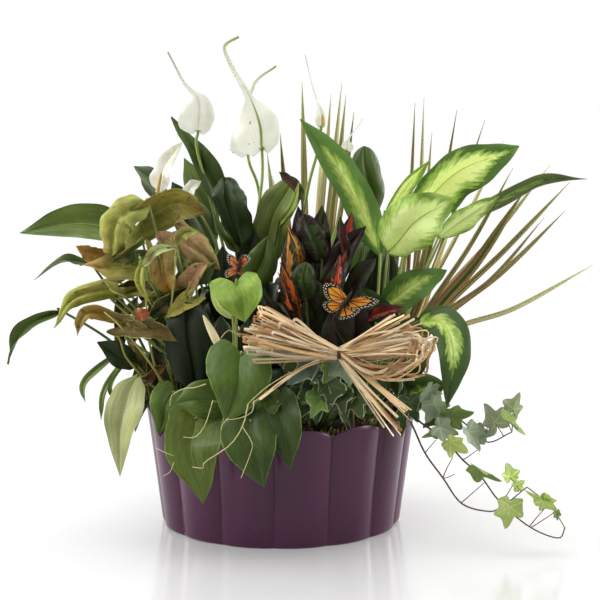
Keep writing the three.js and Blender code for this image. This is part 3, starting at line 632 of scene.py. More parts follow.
def mottled(look, u, v, mottle, streak, blush):
    """The tint of a blade with its clouds, streaks and dry patches, and the tone of the clouds."""
    tone = look.ease(look.noise(30, 5.0, roughness=0.6), 1 - mottle * 2, 1 + mottle * 2)
    colour = look.scaled(look.attribute("tint"), tone)
    warm = look.times(look.step(look.noise(16, 3.0), 0.46, 0.7), 0.5)
    colour = look.mix(warm, colour, WARM_CLOUD, "MULTIPLY")
    if streak:
        drift = look.times(look.noise(6, 1.0), 10.0)
        where = look.vector(look.times(u, 11.0), look.times(v, 1.4), drift)
        streaks = look.step(look.noise(1.0, 3.0, vector=where), 0.3, 0.7)
        colour = look.scaled(colour, look.ease(streaks, 1 - streak, 1 + streak))
    if blush:
        patch = look.step(look.noise(55, 4.0), 0.5, 0.66)
        colour = look.mix(look.times(patch, 0.5), colour, blush)
    return colour, tone


def veined(look, colour, v, off, veins, lean, rib, vein_show):
    """A colour with side veins drawn on it, lighter and darker by turns between them as painted shade of the
    vein relief, and their lines.
    """
    lines, phase = vein_lines(look, v, off, veins, lean, 0.1)
    # Painted shade: the colour swings lighter and darker between side veins, as the ridges of the relief
    # would shade.
    relief_shade = look.math("SINE", look.times(phase, 2 * math.pi))
    colour = look.scaled(colour, look.ease(look.add(look.times(relief_shade, 0.5), 0.5), 0.96, 1.04))
    line_tint = look.mix(0.35, look.scaled(colour, 1.7), rib)
    return look.mix(look.times(lines, vein_show * 1.4), colour, line_tint), lines


def edged(look, colour, off, edge, edge_from):
    """A colour with a ragged margin, from a share of the way out."""
    ragged = look.add(off, look.times(look.minus(look.noise(160, 2.0), 0.5), 0.12))
    return look.mix(look.step(ragged, edge_from - 0.03, edge_from + 0.03), colour, edge)


def leaf_look(name, veins, lean, rib, rib_width, vein_show, roughness, coat, glow=0.22, mottle=0.2,
              edge=None, edge_from=0.9, blush=None, below=None, streak=0.0, spots=0.0, rib_show=0.8):
    """The material that most leaves share: tint, mottling, veins, midrib, margin and underside."""
    look = Look(name, roughness, coat)
    _, u, v, off = look.uv()
    colour, tone = mottled(look, u, v, mottle, streak, blush)
    colour, lines = veined(look, colour, v, off, veins, lean, rib, vein_show)
    if edge:
        colour = edged(look, colour, off, edge, edge_from)
    rib_tint = look.mix(0.25, look.scaled(colour, 1.9), rib)
    colour = look.mix(look.times(midrib_line(look, v, off, rib_width), rib_show), colour, rib_tint)
    if spots:
        dry = look.times(look.step(look.noise(140, 3.0), 0.64, 0.7), spots)
        colour = look.mix(dry, colour, DRY_SPOT)
    under = look.times(look.attribute("under", "Fac"), 0.7 if below else 0.25)
    colour = look.mix(under, colour, look.scaled(below or rib, tone))
    height = look.minus(look.times(look.noise(FINE_GRAIN, 2.0), 0.35), look.times(lines, 0.4))
    normal = look.bump(height, 0.25, 0.5)
    patchy = look.ease(look.noise(120, 3.0), roughness - 0.08, roughness + 0.1)
    look.feed(look.shader.inputs["Roughness"], patchy)
    return look.finish(colour, glow, (1.1, 1.25, 0.55), normal)


def feathered(look, u, v, phase, reach):
    """How far from the midrib the pale middle of a blade reaches, in feathers along its veins."""
    drift = look.times(look.noise(7, 1.0), 12.0)
    where = look.vector(look.times(phase, 1.25), look.times(u, 3.4), drift)
    feathers = look.times(look.noise(1.0, 4.0, vector=where), 0.95)
    ragged = look.add(feathers, look.times(look.noise(170, 3.0), 0.3))
    at_tip = look.times(look.step(v, 0.55, 1.0), 0.75)
    at_base = look.times(look.minus(1.0, look.step(v, 0.0, 0.07)), 0.4)
    return look.minus(look.add(ragged, reach), look.add(at_tip, at_base))


def variegated_look(name, cream, lime, rib, reach):
    """A green blade with a feathered pale middle that streaks along its side veins."""
    cream, lime, rib = paint(cream), paint(lime), paint(rib)
    look = Look(name, 0.4, 0.06)
    _, u, v, off = look.uv()
    tint = look.attribute("tint")
    lines, phase = vein_lines(look, v, off, 15, 0.3, 0.12)
    inside = look.minus(feathered(look, u, v, phase, reach), off)
    deep = look.scaled(tint, look.ease(look.noise(45, 4.0), 0.66, 1.36))
    fleck = look.step(look.noise(230, 2.0), 0.58, 0.7)
    limey = look.mix(look.times(fleck, 0.4), lime, look.scaled(tint, 1.5))
    pale = look.mix(look.times(fleck, 0.3), cream, lime)
    colour = look.mix(look.step(inside, -0.07, 0.06), deep, limey)
    colour = look.mix(look.step(inside, 0.08, 0.4), colour, pale)
    colour = look.mix(look.times(lines, 0.3), colour, look.scaled(colour, 0.86))
    colour = look.mix(look.times(midrib_line(look, v, off, 0.05), 0.5), colour, rib)
    return look.finish(colour, 0.3, (1.1, 1.2, 0.6), leathery(look, lines, 0.25))


def leathery(look, lines, depth):
    """The bumps of a leathery blade, whose side veins are sunk."""
    height = look.minus(look.times(look.noise(FINE_GRAIN, 2.0), 0.3), look.times(lines, 0.7))
    return look.bump(height, depth, 0.5)


def croton_look(name):
    """Black-green leather with torn orange and red patches along the midrib."""
    look = Look(name, 0.4, 0.06, specular=0.16)
    _, u, v, off = look.uv()
    tint = look.attribute("tint")
    lines, phase = vein_lines(look, v, off, 12, 0.14, 0.12)
    drift = look.times(look.noise(9, 1.0), 10.0)
    where = look.vector(look.times(phase, 0.8), look.times(u, 3.0), drift)
    torn = look.noise(1.0, 3.0, vector=where)
    patchy = look.times(look.step(look.noise(34, 3.0), 0.34, 0.54), 0.95)
    middle = look.step(look.minus(look.add(look.times(torn, 2.4), -0.7), off), 0.0, 0.2)
    middle = look.times(middle, patchy)
    dark = look.mix(look.step(look.noise(26, 3.0), 0.4, 0.6), paint("#1d0c08"), paint("#222a10"))
    dark = look.scaled(dark, look.ease(torn, 0.6, 1.5))
    colour = look.mix(middle, dark, look.scaled(tint, look.ease(look.noise(80, 3.0), 0.6, 1.5)))
    colour = look.mix(look.times(lines, 0.25), colour, look.scaled(tint, 1.3))
    colour = look.mix(look.times(midrib_line(look, v, off, 0.1), 0.7), colour, look.scaled(tint, 1.5))
    return look.finish(colour, 0.12, (1.1, 0.8, 0.5), leathery(look, lines, 0.3))


def strap_look(name):
    """Long blades: olive middle, cream lines and red-brown edges, which fade to the tip."""
    look = Look(name, 0.42, 0.05)
    _, u, v, off = look.uv()
    tint = look.attribute("tint")
    calm = look.ease(look.step(v, 0.5, 0.96), 1.0, 0.2)
    across = look.times(u, look.ease(calm, 0.6, 2.6))
    streaks = look.noise(1.0, 1.0, vector=look.vector(across, look.times(v, 3.0), 0.0))
    off = look.add(off, look.times(look.minus(streaks, 0.5), 0.25))
    colour = look.scaled(tint, look.ease(streaks, 0.7, 1.3))
    cream = look.times(look.step(off, 0.3, 0.4), look.minus(1.0, look.step(off, 0.54, 0.64)))
    colour = look.mix(look.times(look.times(cream, 0.4), calm), colour, paint("#cdd090"))
    red = look.mix(look.noise(12, 2.0), paint("#8e4030"), paint("#cc8272"))
    colour = look.mix(look.times(look.times(look.step(off, 0.6, 0.74), 0.9), calm), colour, red)
    normal = look.bump(streaks, 0.1, 0.2)
    return look.finish(colour, 0.12, (1.1, 1.1, 0.6), normal)


def stalk_look():
    """Stalks and stems, streaked along their length."""
    look = Look("stalk", 0.42, 0.1)
    streak = look.noise(220, 3.0, stretch=(1, 1, 0.15))
    colour = look.scaled(look.attribute("tint"), look.ease(streak, 0.72, 1.28))
    normal = look.bump(streak, 0.3, 0.5)
    return look.finish(colour, 0.12, (1.1, 1.2, 0.6), normal)


def petal_look(name, rib, rib_show):
    """White spathes with faint grey ribs, a midrib and a few brown specks."""
    look = Look(name, 0.5)
    _, _, v, off = look.uv()
    tint = look.attribute("tint")
    lines, _ = vein_lines(look, v, off, 9, 0.9, 0.2)
    blade = look.minus(1.0, look.step(v, 0.36, 0.6))
    colour = look.mix(look.times(look.times(lines, 0.16), blade), tint, paint("#b9bda6"))
    colour = look.scaled(colour, look.ease(look.noise(60, 3.0), 0.86, 1.08))
    midrib = look.times(midrib_line(look, v, off, 0.1), rib_show)
    colour = look.mix(look.times(midrib, blade), colour, paint(rib))
    near_foot = look.minus(1.0, look.step(v, 0.3, 0.6))
    speck = look.times(look.step(look.noise(210, 2.0), 0.72, 0.76), near_foot)
    colour = look.mix(look.times(speck, 0.85), colour, paint("#4a3526"))
    normal = look.bump(look.noise(260, 3.0), 0.4, 0.4)
    return look.finish(colour, 0.6, (1, 1, 0.98), normal)


def raffia_look():
    """Straw with fibres along each strand and a few darker patches."""
    look = Look("raffia", 0.62)
    vector, _, _, _ = look.uv()
    fibre = look.noise(26, 4.0, vector=vector, stretch=(9, 1.2, 1))
    colour = look.scaled(look.attribute("tint"), look.ease(fibre, 0.8, 1.6))
    colour = look.mix(look.step(look.noise(140, 2.0), 0.62, 0.75), colour, look.scaled(colour, 0.7))
    normal = look.bump(fibre, 0.5, 0.7)
    return look.finish(colour, 0.15, (1, 0.9, 0.7), normal)


def pot_look():
    """Satin painted metal with a faint orange peel and a little wear."""
    look = Look("pot_paint", 0.3, 0.05, coat_roughness=0.28, specular=0.34)
    base = look.mix(look.noise(14, 3.0), paint("#3b1430"), paint("#491b3b"))
    colour = look.scaled(base, look.ease(look.noise(420, 2.0), 0.94, 1.06))
    scuff = look.step(look.noise(70, 6.0, roughness=0.7), 0.66, 0.8)
    colour = look.mix(look.times(scuff, 0.12), colour, paint("#8a6c84"))
    rough = look.ease(look.noise(22, 4.0), 0.24, 0.36)
    look.feed(look.shader.inputs["Roughness"], rough)
    normal = look.bump(look.noise(160, 2.0), 0.06, 0.35)
    return look.finish(colour, normal=normal)


def soil_look():
    """Dark crumbs of potting mix with bits of bark."""
    look = Look("potting_mix", 0.95)
    crumbs = look.noise(210, 6.0, roughness=0.7)
    bark = look.step(look.noise(90, 3.0), 0.55, 0.64)
    colour = look.mix(crumbs, paint("#1b1410"), paint("#453529"))
    colour = look.mix(look.times(bark, 0.5), colour, paint("#5e4430"))
    normal = look.bump(crumbs, 2.0, 0.9)
    return look.finish(colour, normal=normal)


def moss_look():
    """Dull strands of moss, bark and straw, in the tint of each."""
    look = Look("moss_strand", 0.85)
    colour = look.scaled(look.attribute("tint"), look.ease(look.noise(300, 2.0), 0.7, 1.3))
    return look.finish(colour, 0.1, (1, 0.95, 0.7))


def spadix_look():
    """The grainy surface of a spadix."""
    look = Look("spadix", 0.75)
    cells = look.noise(FINE_GRAIN, 2.0)
    colour = look.scaled(look.attribute("tint"), look.ease(cells, 0.75, 1.2))
    normal = look.bump(cells, 0.8, 0.8)
    return look.finish(colour, 0.1, (1, 0.95, 0.7), normal)


def beads(look, u, v, count, row, size):
    """A row of dots along the edge of a wing: how many, how far out, and how large."""
    apart = look.math("ABSOLUTE", look.minus(look.math("FRACT", look.times(u, count)), 0.5))
    near = look.math("ABSOLUTE", look.minus(v, row))
    inside = look.minus(1.0, look.step(near, size * 0.5, size))
    return look.times(look.step(apart, 0.22, 0.34), inside)


def wing_look(name, cell, deep, dark, shine):
    """Butterfly wings: cells between dark veins, and a dark edge with two rows of pale dots."""
    look = Look(name, 0.55)
    _, u, v, _ = look.uv()
    spokes = look.math("ABSOLUTE", look.minus(look.math("FRACT", look.times(u, 5.0)), 0.5))
    apart = look.times(look.minus(0.5, spokes), v)
    fan = look.minus(1.0, look.step(apart, 0.035, 0.07))
    uneven = look.times(look.noise(300, 1.0), 0.12)
    border = look.step(look.add(v, uneven), 0.76, 0.82)
    colour = look.mix(look.step(v, 0.1, 0.8), paint(deep), paint(cell))
    colour = look.scaled(colour, look.ease(look.noise(260, 3.0), 0.75, 1.25))
    for mask in (fan, border):
        colour = look.mix(mask, colour, paint(dark))
    for row in WING_BEADS:
        colour = look.mix(beads(look, u, v, *row), colour, paint(shine))
    return look.finish(colour, 0.2, (1, 0.9, 0.6), look.bump(fan, 0.1, 0.4))


def fuzz_look():
    """The dark body of a butterfly and its wire."""
    look = Look("insect_body", 0.7)
    bands = look.noise(420, 2.0)
    colour = look.mix(bands, paint("#15100d"), paint("#3b2c22"))
    return look.finish(colour, normal=look.bump(bands, 0.4, 0.6))


# ---------------------------------------------------------------- plants
# A row is [outline, width, roll, fold, tint, midrib points, options]. Angles are in degrees.

LILY = paint("#4c5f2a")
LILY_SHADE = paint("#3f5126")
LILY_GREY = paint("#616f52")
LILY_DEEP = paint("#2c3b1d")
# Painted shadow: a near-black tint for the big lily leaf that hangs in shadow behind the others.
LILY_SHADOWED = paint("#1b2413")
LILY_BROAD = paint("#6b7a3c")
LILY_PALE = paint("#6f8044")
OLIVE = paint("#848640")
OLIVE_LIGHT = paint("#a2a548")
OLIVE_PALE = paint("#b3ba62")
BRONZE = paint("#6d602c")
BRONZE_DEEP = paint("#574c24")
TAN = paint("#a8904c")
RUST = paint("#a67e38")
RUST_RED = paint("#a85a38")
RUST_BROWN = paint("#5e4028")
LIME = paint("#97aa50")
LIME_GREY = paint("#b0b67e")
LIME_PALE = paint("#ccd796")
PINKISH = paint("#a98560")
HEART = paint("#52692a")
HEART_SOFT = paint("#697b38")
HEART_DEEP = paint("#3b4e20")
HEART_LIME = paint("#86a042")
CROTON_DARK = paint("#20140f")
CROTON_RED = paint("#a83a22")
CROTON_WINE = paint("#842a1c")
CROTON_GREEN = paint("#3a4a1e")
CANE = paint("#638540")
CANE_DEEP = paint("#42592a")
CANE_GREY = paint("#687a44")
CANE_LIME = paint("#90b04e")
IVY_GREY = paint("#7f9078")
IVY_SLATE = paint("#66786a")
IVY_GREEN = paint("#6f8a45")
TRAIL_GREEN = paint("#7f9654")
TRAIL_GREY = paint("#a3b096")
IVY_DARK = paint("#42522f")
IVY_LIME = paint("#c6d684")
STRAP_OLIVE = paint("#9a9c5c")
STRAP_DEEP = paint("#716f36")
STRAP_PALE = paint("#c8cb92")
STEM_PALE = paint("#93a05a")
STEM_OLIVE = paint("#a2a054")
STEM_DEEP = paint("#4d5c2c")
# Painted shade: the two near-black tints below are for filler leaves that stand for the deep shade in the
# core of the planting.
SHADE_FILL = paint("#222c15")
SHADE_FILL_OLIVE = paint("#474a20")
BLOOM_STEM = paint("#8fa456")
SPATHE_WHITE = paint("#fafaf4")
SPADIX_CREAM = paint("#d3b780")
SHEATH_CREAM = paint("#e2d6a8")
ROOT_CREAM = paint("#c9bf86")
TRAIL_BROWN = paint("#5c4c36")
TRAIL_STALK = paint("#8a7f5e")
BARE_BROWN = paint("#7a5f48")

# The heights of a root stock, the fold and the most roll of a rule-placed leaf, the fold of a
# strap, and the width above which a strap is always deep olive.
STOCK_HEIGHTS = (SOIL_TOP - 24, SOIL_TOP, SOIL_TOP + 12)
SPRAY_FOLD = 14
SPRAY_ROLL = 14
STRAP_FOLD = 34
STRAP_BROAD = 12

LILY_CROWN = (-34, 42)
LILY_LEAVES = [
    ["broad", 31, 18, 38, LILY_SHADE, [[245, 262, 40], [212, 178, 46], [171, 117, 54]],
     dict(ruffle=0.09, wave=3, ragged=0.05)],
    ["round", 38, -12, 26, LILY_DEEP, [[243, 250, 14], [229, 204, 4], [224, 177, 14]],
     dict(ruffle=0.1, curl=0.7, wave=3, twist=40, ragged=0.05)],
    ["lance", 28, 25, 30, LILY_GREY, [[166, 204, 34], [150, 180, 28], [134, 166, 22]],
     dict(ruffle=0.08)],
    ["lance", 16, 40, 40, LILY, [[236, 252, -6], [220, 234, -12], [212, 210, -10]],
     dict(ruffle=0.1, twist=60)],
    # Painted highlight: this thin lime blade stands for the lit, folded edge of the broad round leaf beside
    # it.
    ["lance", 9, 0, 30, LIME, [[278, 226, 4], [292, 206, 0], [299, 182, 4]], dict(ruffle=0.1)],
    ["lance", 26, 20, 30, LILY_GREY, [[214, 250, 10], [196, 214, 0], [176, 190, -4]], dict(ruffle=0.08)],
    ["lance", 30, 28, 18, LILY_DEEP, [[205, 250, 30], [184, 208, 22], [172, 182, 26]], {}],
    ["lance", 28, 20, 16, LILY_PALE, [[216, 240, 56], [199, 192, 54], [184, 158, 60]], {}],
    ["round", 43, -14, 26, LILY_BROAD, [[262, 266, 22], [276, 216, 14], [293, 179, 22]],
     dict(ruffle=0.055)],
    ["lance", 34, 10, 16, LILY, [[240, 300, -8], [262, 262, -16], [268, 236, -12]], {}],
    ["broad", 40, 0, 16, SHADE_FILL, [[230, 330, -20], [226, 290, -26], [222, 246, -24]], {}],
    ["broad", 42, 10, 16, SHADE_FILL, [[256, 330, 10], [252, 280, 8], [250, 226, 12]], {}],
]
LILY_LEFT_CROWN = (-104, 14)
LILY_LEFT_LEAVES = [
    ["lance", 38, 14, 12, LILY_PALE, [[142, 238, 14], [84, 223, 0], [20, 233, -22]],
     dict(wave=3, ruffle=0.08, curl=-0.2, twist=-24, relief=2.5, tip=LILY)],
    ["lance", 15, 62, 30, LILY, [[92, 264, 2], [62, 262, -10], [34, 280, -24]],
     dict(twist=50, ruffle=0.08)],
    ["lance", 17, 24, 44, LILY, [[62, 311, -12], [26, 327, -32], [7, 364, -44]],
     dict(wave=2, twist=70, ruffle=0.08)],
    # The big leaf in the near-black tint is painted shadow.
    ["round", 48, -8, 16, LILY_SHADOWED, [[196, 396, 10], [188, 340, 6], [184, 298, 8]],
     dict(relief=0.1, slot=2)],
]
LILY_LOW_CROWN = (-96, -34)
LILY_LOW_LEAVES = [
    ["lance", 27, 20, 24, LILY_DEEP, [[137, 366, -66], [118, 354, -78], [97, 342, -84]],
     dict(ruffle=0.07)],
    # The big leaf in the near-black tint is painted shadow.
    ["round", 50, 4, 20, LILY_SHADOWED, [[196, 390, -80], [190, 342, -92], [186, 302, -88]],
     dict(curl=0.5, relief=0, slot=2)],
    ["strap", 9, 20, 30, LILY_PALE, [[120, 350, -56], [86, 380, -66], [85, 402, -70]], dict(twist=60)],
    ["strap", 7, 10, 30, LILY_PALE, [[126, 356, -62], [104, 390, -80], [101, 420, -84]],
     dict(twist=-60)],
    ["strap", 7, 40, 30, LILY, [[128, 360, -70], [112, 384, -84], [112, 398, -86]], dict(twist=-60)],
    ["lance", 38, 14, 14, LIME_GREY, [[138, 376, -84], [128, 400, -104], [120, 428, -110], [120, 476, -108]],
     {}],
]
LILY_RIGHT_CROWN = (62, 74)
LILY_RIGHT_LEAVES = [
    ["round", 34, 10, 12, LILY, [[368, 222, 54], [368, 178, 46], [364, 146, 52]], dict(curl=0.5)],
    ["broad", 28, 10, 16, LILY_DEEP, [[386, 330, 20], [390, 290, 24], [390, 246, 30]], {}],
    ["broad", 26, -10, 16, SHADE_FILL, [[378, 330, 26], [372, 290, 30], [374, 240, 34]], {}],
]
ARROWHEAD_CROWN = (-72, -8)
ARROWHEAD_LEAVES = [
    ["arrow", 52, 20, 22, OLIVE_LIGHT, [[142, 220, -40], [174, 206, -50], [207, 214, -46]],
     dict(wave=4, tip=TAN, twist=-30, ruffle=0.06, ragged=0.05)],
    ["round", 35, 14, 20, OLIVE_PALE, [[149, 206, -54], [117, 218, -66], [112, 256, -68]],
     dict(wave=3, ruffle=0.1, curl=0.5, ragged=0.06, crumple=1.2, tip=OLIVE_LIGHT)],
    ["arrow", 46, -14, 34, PINKISH, [[182, 238, -54], [200, 252, -62], [220, 270, -56]],
     dict(wave=2, tip=OLIVE, curl=0.7, ruffle=0.07, ragged=0.05)],
    ["arrow", 40, 30, 30, OLIVE_LIGHT, [[140, 266, -58], [110, 268, -68], [80, 264, -74]],
     dict(wave=3, tip=PINKISH, twist=50, ruffle=0.08, ragged=0.06)],
    ["arrow", 24, 10, 18, RUST, [[103, 262, -34], [90, 254, -38], [76, 246, -40]],
     dict(ruffle=0.14, curl=-0.4, ragged=0.1)],
    ["arrow", 40, 12, 40, BRONZE, [[160, 258, -74], [165, 280, -84], [174, 296, -80]],
     dict(wave=3, tip=RUST, twist=50, ruffle=0.09, ragged=0.08)],
    ["arrow", 26, 24, 30, OLIVE_LIGHT, [[108, 289, -66], [72, 300, -76], [54, 328, -82]],
     dict(twist=60, curl=0.6, ruffle=0.08)],
    ["lance", 18, 14, 34, RUST, [[126, 322, -74], [88, 312, -86], [77, 336, -90]],
     dict(tip=OLIVE, twist=60, ruffle=0.1, ragged=0.06)],
    ["arrow", 28, -10, 26, BRONZE_DEEP, [[130, 326, -96], [152, 330, -102], [177, 341, -100]],
     dict(ruffle=0.12, ragged=0.08)],
    ["arrow", 30, -16, 30, LIME, [[158, 302, -66], [173, 290, -70], [193, 288, -66]],
     dict(twist=-50, ruffle=0.08)],
    ["lance", 14, 10, 44, LIME_PALE, [[142, 267, -92], [156, 250, -98], [178, 248, -96]],
     dict(ruffle=0.08)],
    ["lance", 12, 30, 40, OLIVE_LIGHT, [[142, 262, -90], [140, 282, -98], [152, 306, -96]],
     dict(twist=70)],
    ["lance", 20, -60, 30, OLIVE, [[112, 300, -60], [140, 296, -68], [166, 306, -66]],
     dict(twist=60, ruffle=0.1)],
    ["lance", 22, 30, 30, LILY_DEEP, [[150, 318, -70], [170, 300, -80], [200, 284, -76]],
     dict(twist=30, ruffle=0.1)],
    ["arrow", 24, -8, 30, PINKISH, [[186, 286, -80], [197, 273, -84], [208, 262, -80]],
     dict(ruffle=0.1)],
    ["strap", 12, 0, 0, RUST_RED, [[134, 318, -106], [141, 314, -108], [150, 313, -106]],
     dict(ruffle=0.2)],
    ["lance", 22, 40, 30, LILY_DEEP, [[112, 300, -50], [128, 288, -54], [142, 280, -52]],
     dict(ruffle=0.1)],
    ["lance", 20, -30, 30, SHADE_FILL_OLIVE, [[128, 340, -40], [132, 316, -46], [138, 296, -44]], {}],
    ["lance", 24, 20, 30, SHADE_FILL_OLIVE, [[160, 350, -40], [156, 322, -46], [152, 296, -44]], {}],
    ["lance", 24, -20, 30, LILY_DEEP, [[150, 306, -40], [146, 284, -46], [136, 258, -44]], {}],
    ["lance", 24, 20, 30, SHADE_FILL_OLIVE, [[176, 306, -40], [184, 280, -46], [190, 262, -44]], {}],
    ["arrow", 34, 20, 30, SHADE_FILL_OLIVE, [[146, 396, -50], [144, 372, -60], [134, 344, -62]],
     dict(ruffle=0.08)],
    ["arrow", 32, -20, 30, SHADE_FILL, [[164, 390, -60], [160, 362, -70], [158, 332, -68]],
     dict(ruffle=0.08)],
    ["arrow", 28, 10, 30, SHADE_FILL, [[126, 338, -30], [124, 316, -36], [118, 292, -34]], dict(ruffle=0.08)],
    ["lance", 16, 30, 40, RUST_BROWN, [[140, 384, -74], [152, 372, -80], [166, 366, -78]],
     dict(ruffle=0.16)],
    ["lance", 20, 60, 40, OLIVE, [[128, 300, -80], [116, 292, -90], [104, 280, -88]], dict(ruffle=0.1)],
    ["lance", 22, -40, 40, BRONZE, [[150, 342, -90], [140, 326, -98], [128, 320, -96]],
     dict(ruffle=0.14)],
    ["arrow", 24, -30, 30, LILY, [[136, 250, -66], [126, 256, -72], [112, 262, -70]], dict(ruffle=0.12)],
    ["lance", 16, 20, 40, OLIVE_PALE, [[176, 244, -86], [184, 232, -92], [200, 232, -90]],
     dict(ruffle=0.1)],
    ["arrow", 24, 20, 30, OLIVE, [[190, 300, -84], [180, 308, -92], [166, 318, -90]],
     dict(ruffle=0.1, twist=40)],
    ["lance", 18, 50, 40, LILY, [[196, 286, -70], [204, 272, -78], [216, 262, -76]], dict(ruffle=0.1)],
]
HEART_CROWN = (-42, -78)
HEART_LEAVES = [
    ["heart", 64, 4, 14, HEART, [[241, 354, -128], [237, 386, -142], [226, 423, -141]], {}],
    ["heart", 56, -6, 14, HEART_SOFT, [[196, 418, -116], [195, 456, -136], [203, 504, -135]], {}],
    ["heart", 54, 6, 14, HEART_DEEP, [[250, 420, -138], [252, 452, -150], [264, 487, -149]], {}],
    ["heart", 40, 16, 14, HEART_DEEP, [[277, 402, -132], [283, 432, -144], [290, 470, -144]], {}],
    ["heart", 36, -10, 14, HEART, [[174, 392, -96], [165, 412, -110], [158, 435, -112]], {}],
    ["heart", 40, 0, 12, HEART, [[216, 402, -122], [196, 400, -128], [174, 404, -124]], {}],
    ["heart", 42, 8, 12, HEART, [[264, 392, -124], [257, 408, -132], [250, 426, -136]], {}],
    ["heart", 36, 20, 14, HEART_DEEP, [[300, 390, -108], [306, 406, -118], [304, 424, -122]], {}],
    ["lance", 10, 10, 30, LIME_PALE, [[233, 319, -112], [219, 307, -116], [210, 289, -112]], {}],
    ["heart", 56, -6, 30, HEART_LIME, [[236, 284, -104], [241, 299, -112], [245, 322, -112]],
     dict(bias=0.12, ruffle=0.05)],
    ["heart", 44, 6, 14, SHADE_FILL, [[224, 356, -80], [222, 340, -86], [221, 316, -84]], {}],
    ["heart", 40, 6, 14, SHADE_FILL, [[254, 356, -84], [252, 340, -90], [248, 318, -86]], {}],
]
CROTON_CROWN = (34, -22)
CROTON_ORANGE = paint("#d0662a")
CROTON_GOLD = paint("#d99a48")
CROTON_CORAL = paint("#d9604a")
CROTON_MAROON = paint("#4a1a1a")
CROTON_LEAVES = [
    ["lance", 22, 10, 22, CROTON_GOLD, [[302, 318, -30], [291, 276, -42], [288, 230, -38]],
     dict(wave=1.5, ruffle=0.08)],
    ["lance", 22, 26, 30, CROTON_ORANGE, [[304, 330, -40], [290, 300, -54], [278, 272, -56]],
     dict(wave=1.5, ruffle=0.06)],
    ["lance", 24, -12, 22, CROTON_RED, [[318, 326, -34], [334, 288, -50], [346, 250, -50]],
     dict(wave=1.5, twist=40, ruffle=0.08)],
    ["lance", 28, -10, 30, CROTON_DARK, [[322, 300, -22], [342, 256, -26], [366, 226, -22]],
     dict(wave=1.5, ruffle=0.08)],
    ["lance", 18, -16, 34, CROTON_WINE, [[350, 324, -46], [382, 313, -58], [405, 307, -56]],
     dict(ruffle=0.08)],
    ["lance", 28, 0, 20, CROTON_GREEN, [[314, 290, -12], [319, 244, -10], [322, 205, -8]],
     dict(ruffle=0.08)],
    ["lance", 28, 12, 20, CROTON_DARK, [[304, 290, -4], [303, 244, -2], [298, 206, 0]],
     dict(ruffle=0.08)],
    ["lance", 26, -14, 20, CROTON_RED, [[328, 300, -8], [344, 252, -6], [352, 212, -2]],
     dict(ruffle=0.08, twist=60)],
    ["lance", 22, 0, 20, CROTON_GREEN, [[324, 332, -50], [322, 302, -64], [316, 280, -66]], {}],
    ["lance", 20, 20, 20, CROTON_DARK, [[292, 332, -46], [272, 312, -58], [262, 292, -56]], {}],
    ["lance", 22, -20, 20, CROTON_DARK, [[344, 306, -22], [362, 276, -30], [376, 258, -28]], {}],
    ["lance", 13, 20, 30, CROTON_GOLD, [[302, 276, -24], [298, 250, -34], [286, 224, -30]],
     dict(twist=90, ruffle=0.12)],
    ["lance", 13, -20, 34, CROTON_ORANGE, [[302, 322, -66], [294, 294, -76], [280, 262, -74]],
     dict(twist=60, ruffle=0.06)],
    ["round", 25, 0, 16, CROTON_GREEN, [[306, 302, -66], [305, 282, -72], [306, 262, -70]],
     dict(curl=0.5)],
    ["lance", 16, 40, 20, CROTON_MAROON, [[302, 200, 10], [291, 183, 6], [279, 172, 6]],
     dict(ruffle=0.08)],
    ["round", 34, 20, 22, CROTON_GREEN, [[322, 262, -20], [314, 240, -24], [304, 214, -20]],
     dict(curl=0.5, ruffle=0.08)],
    ["lance", 18, -30, 34, CROTON_CORAL, [[334, 306, -62], [338, 280, -70], [340, 254, -66]],
     dict(twist=50, ruffle=0.1)],
    ["lance", 15, 30, 34, CROTON_MAROON, [[346, 262, -30], [342, 240, -34], [340, 216, -30]],
     dict(twist=-60, ruffle=0.1)],
    ["lance", 32, 0, 16, CROTON_DARK, [[337, 362, -66], [337, 336, -72], [334, 304, -70]], {}],
    ["lance", 30, 10, 16, CROTON_DARK, [[352, 350, -50], [356, 322, -56], [358, 290, -54]], {}],
    ["lance", 28, 10, 16, CROTON_DARK, [[312, 350, -50], [310, 322, -56], [308, 296, -54]], {}],
]
CANE_CROWN = (88, 0)
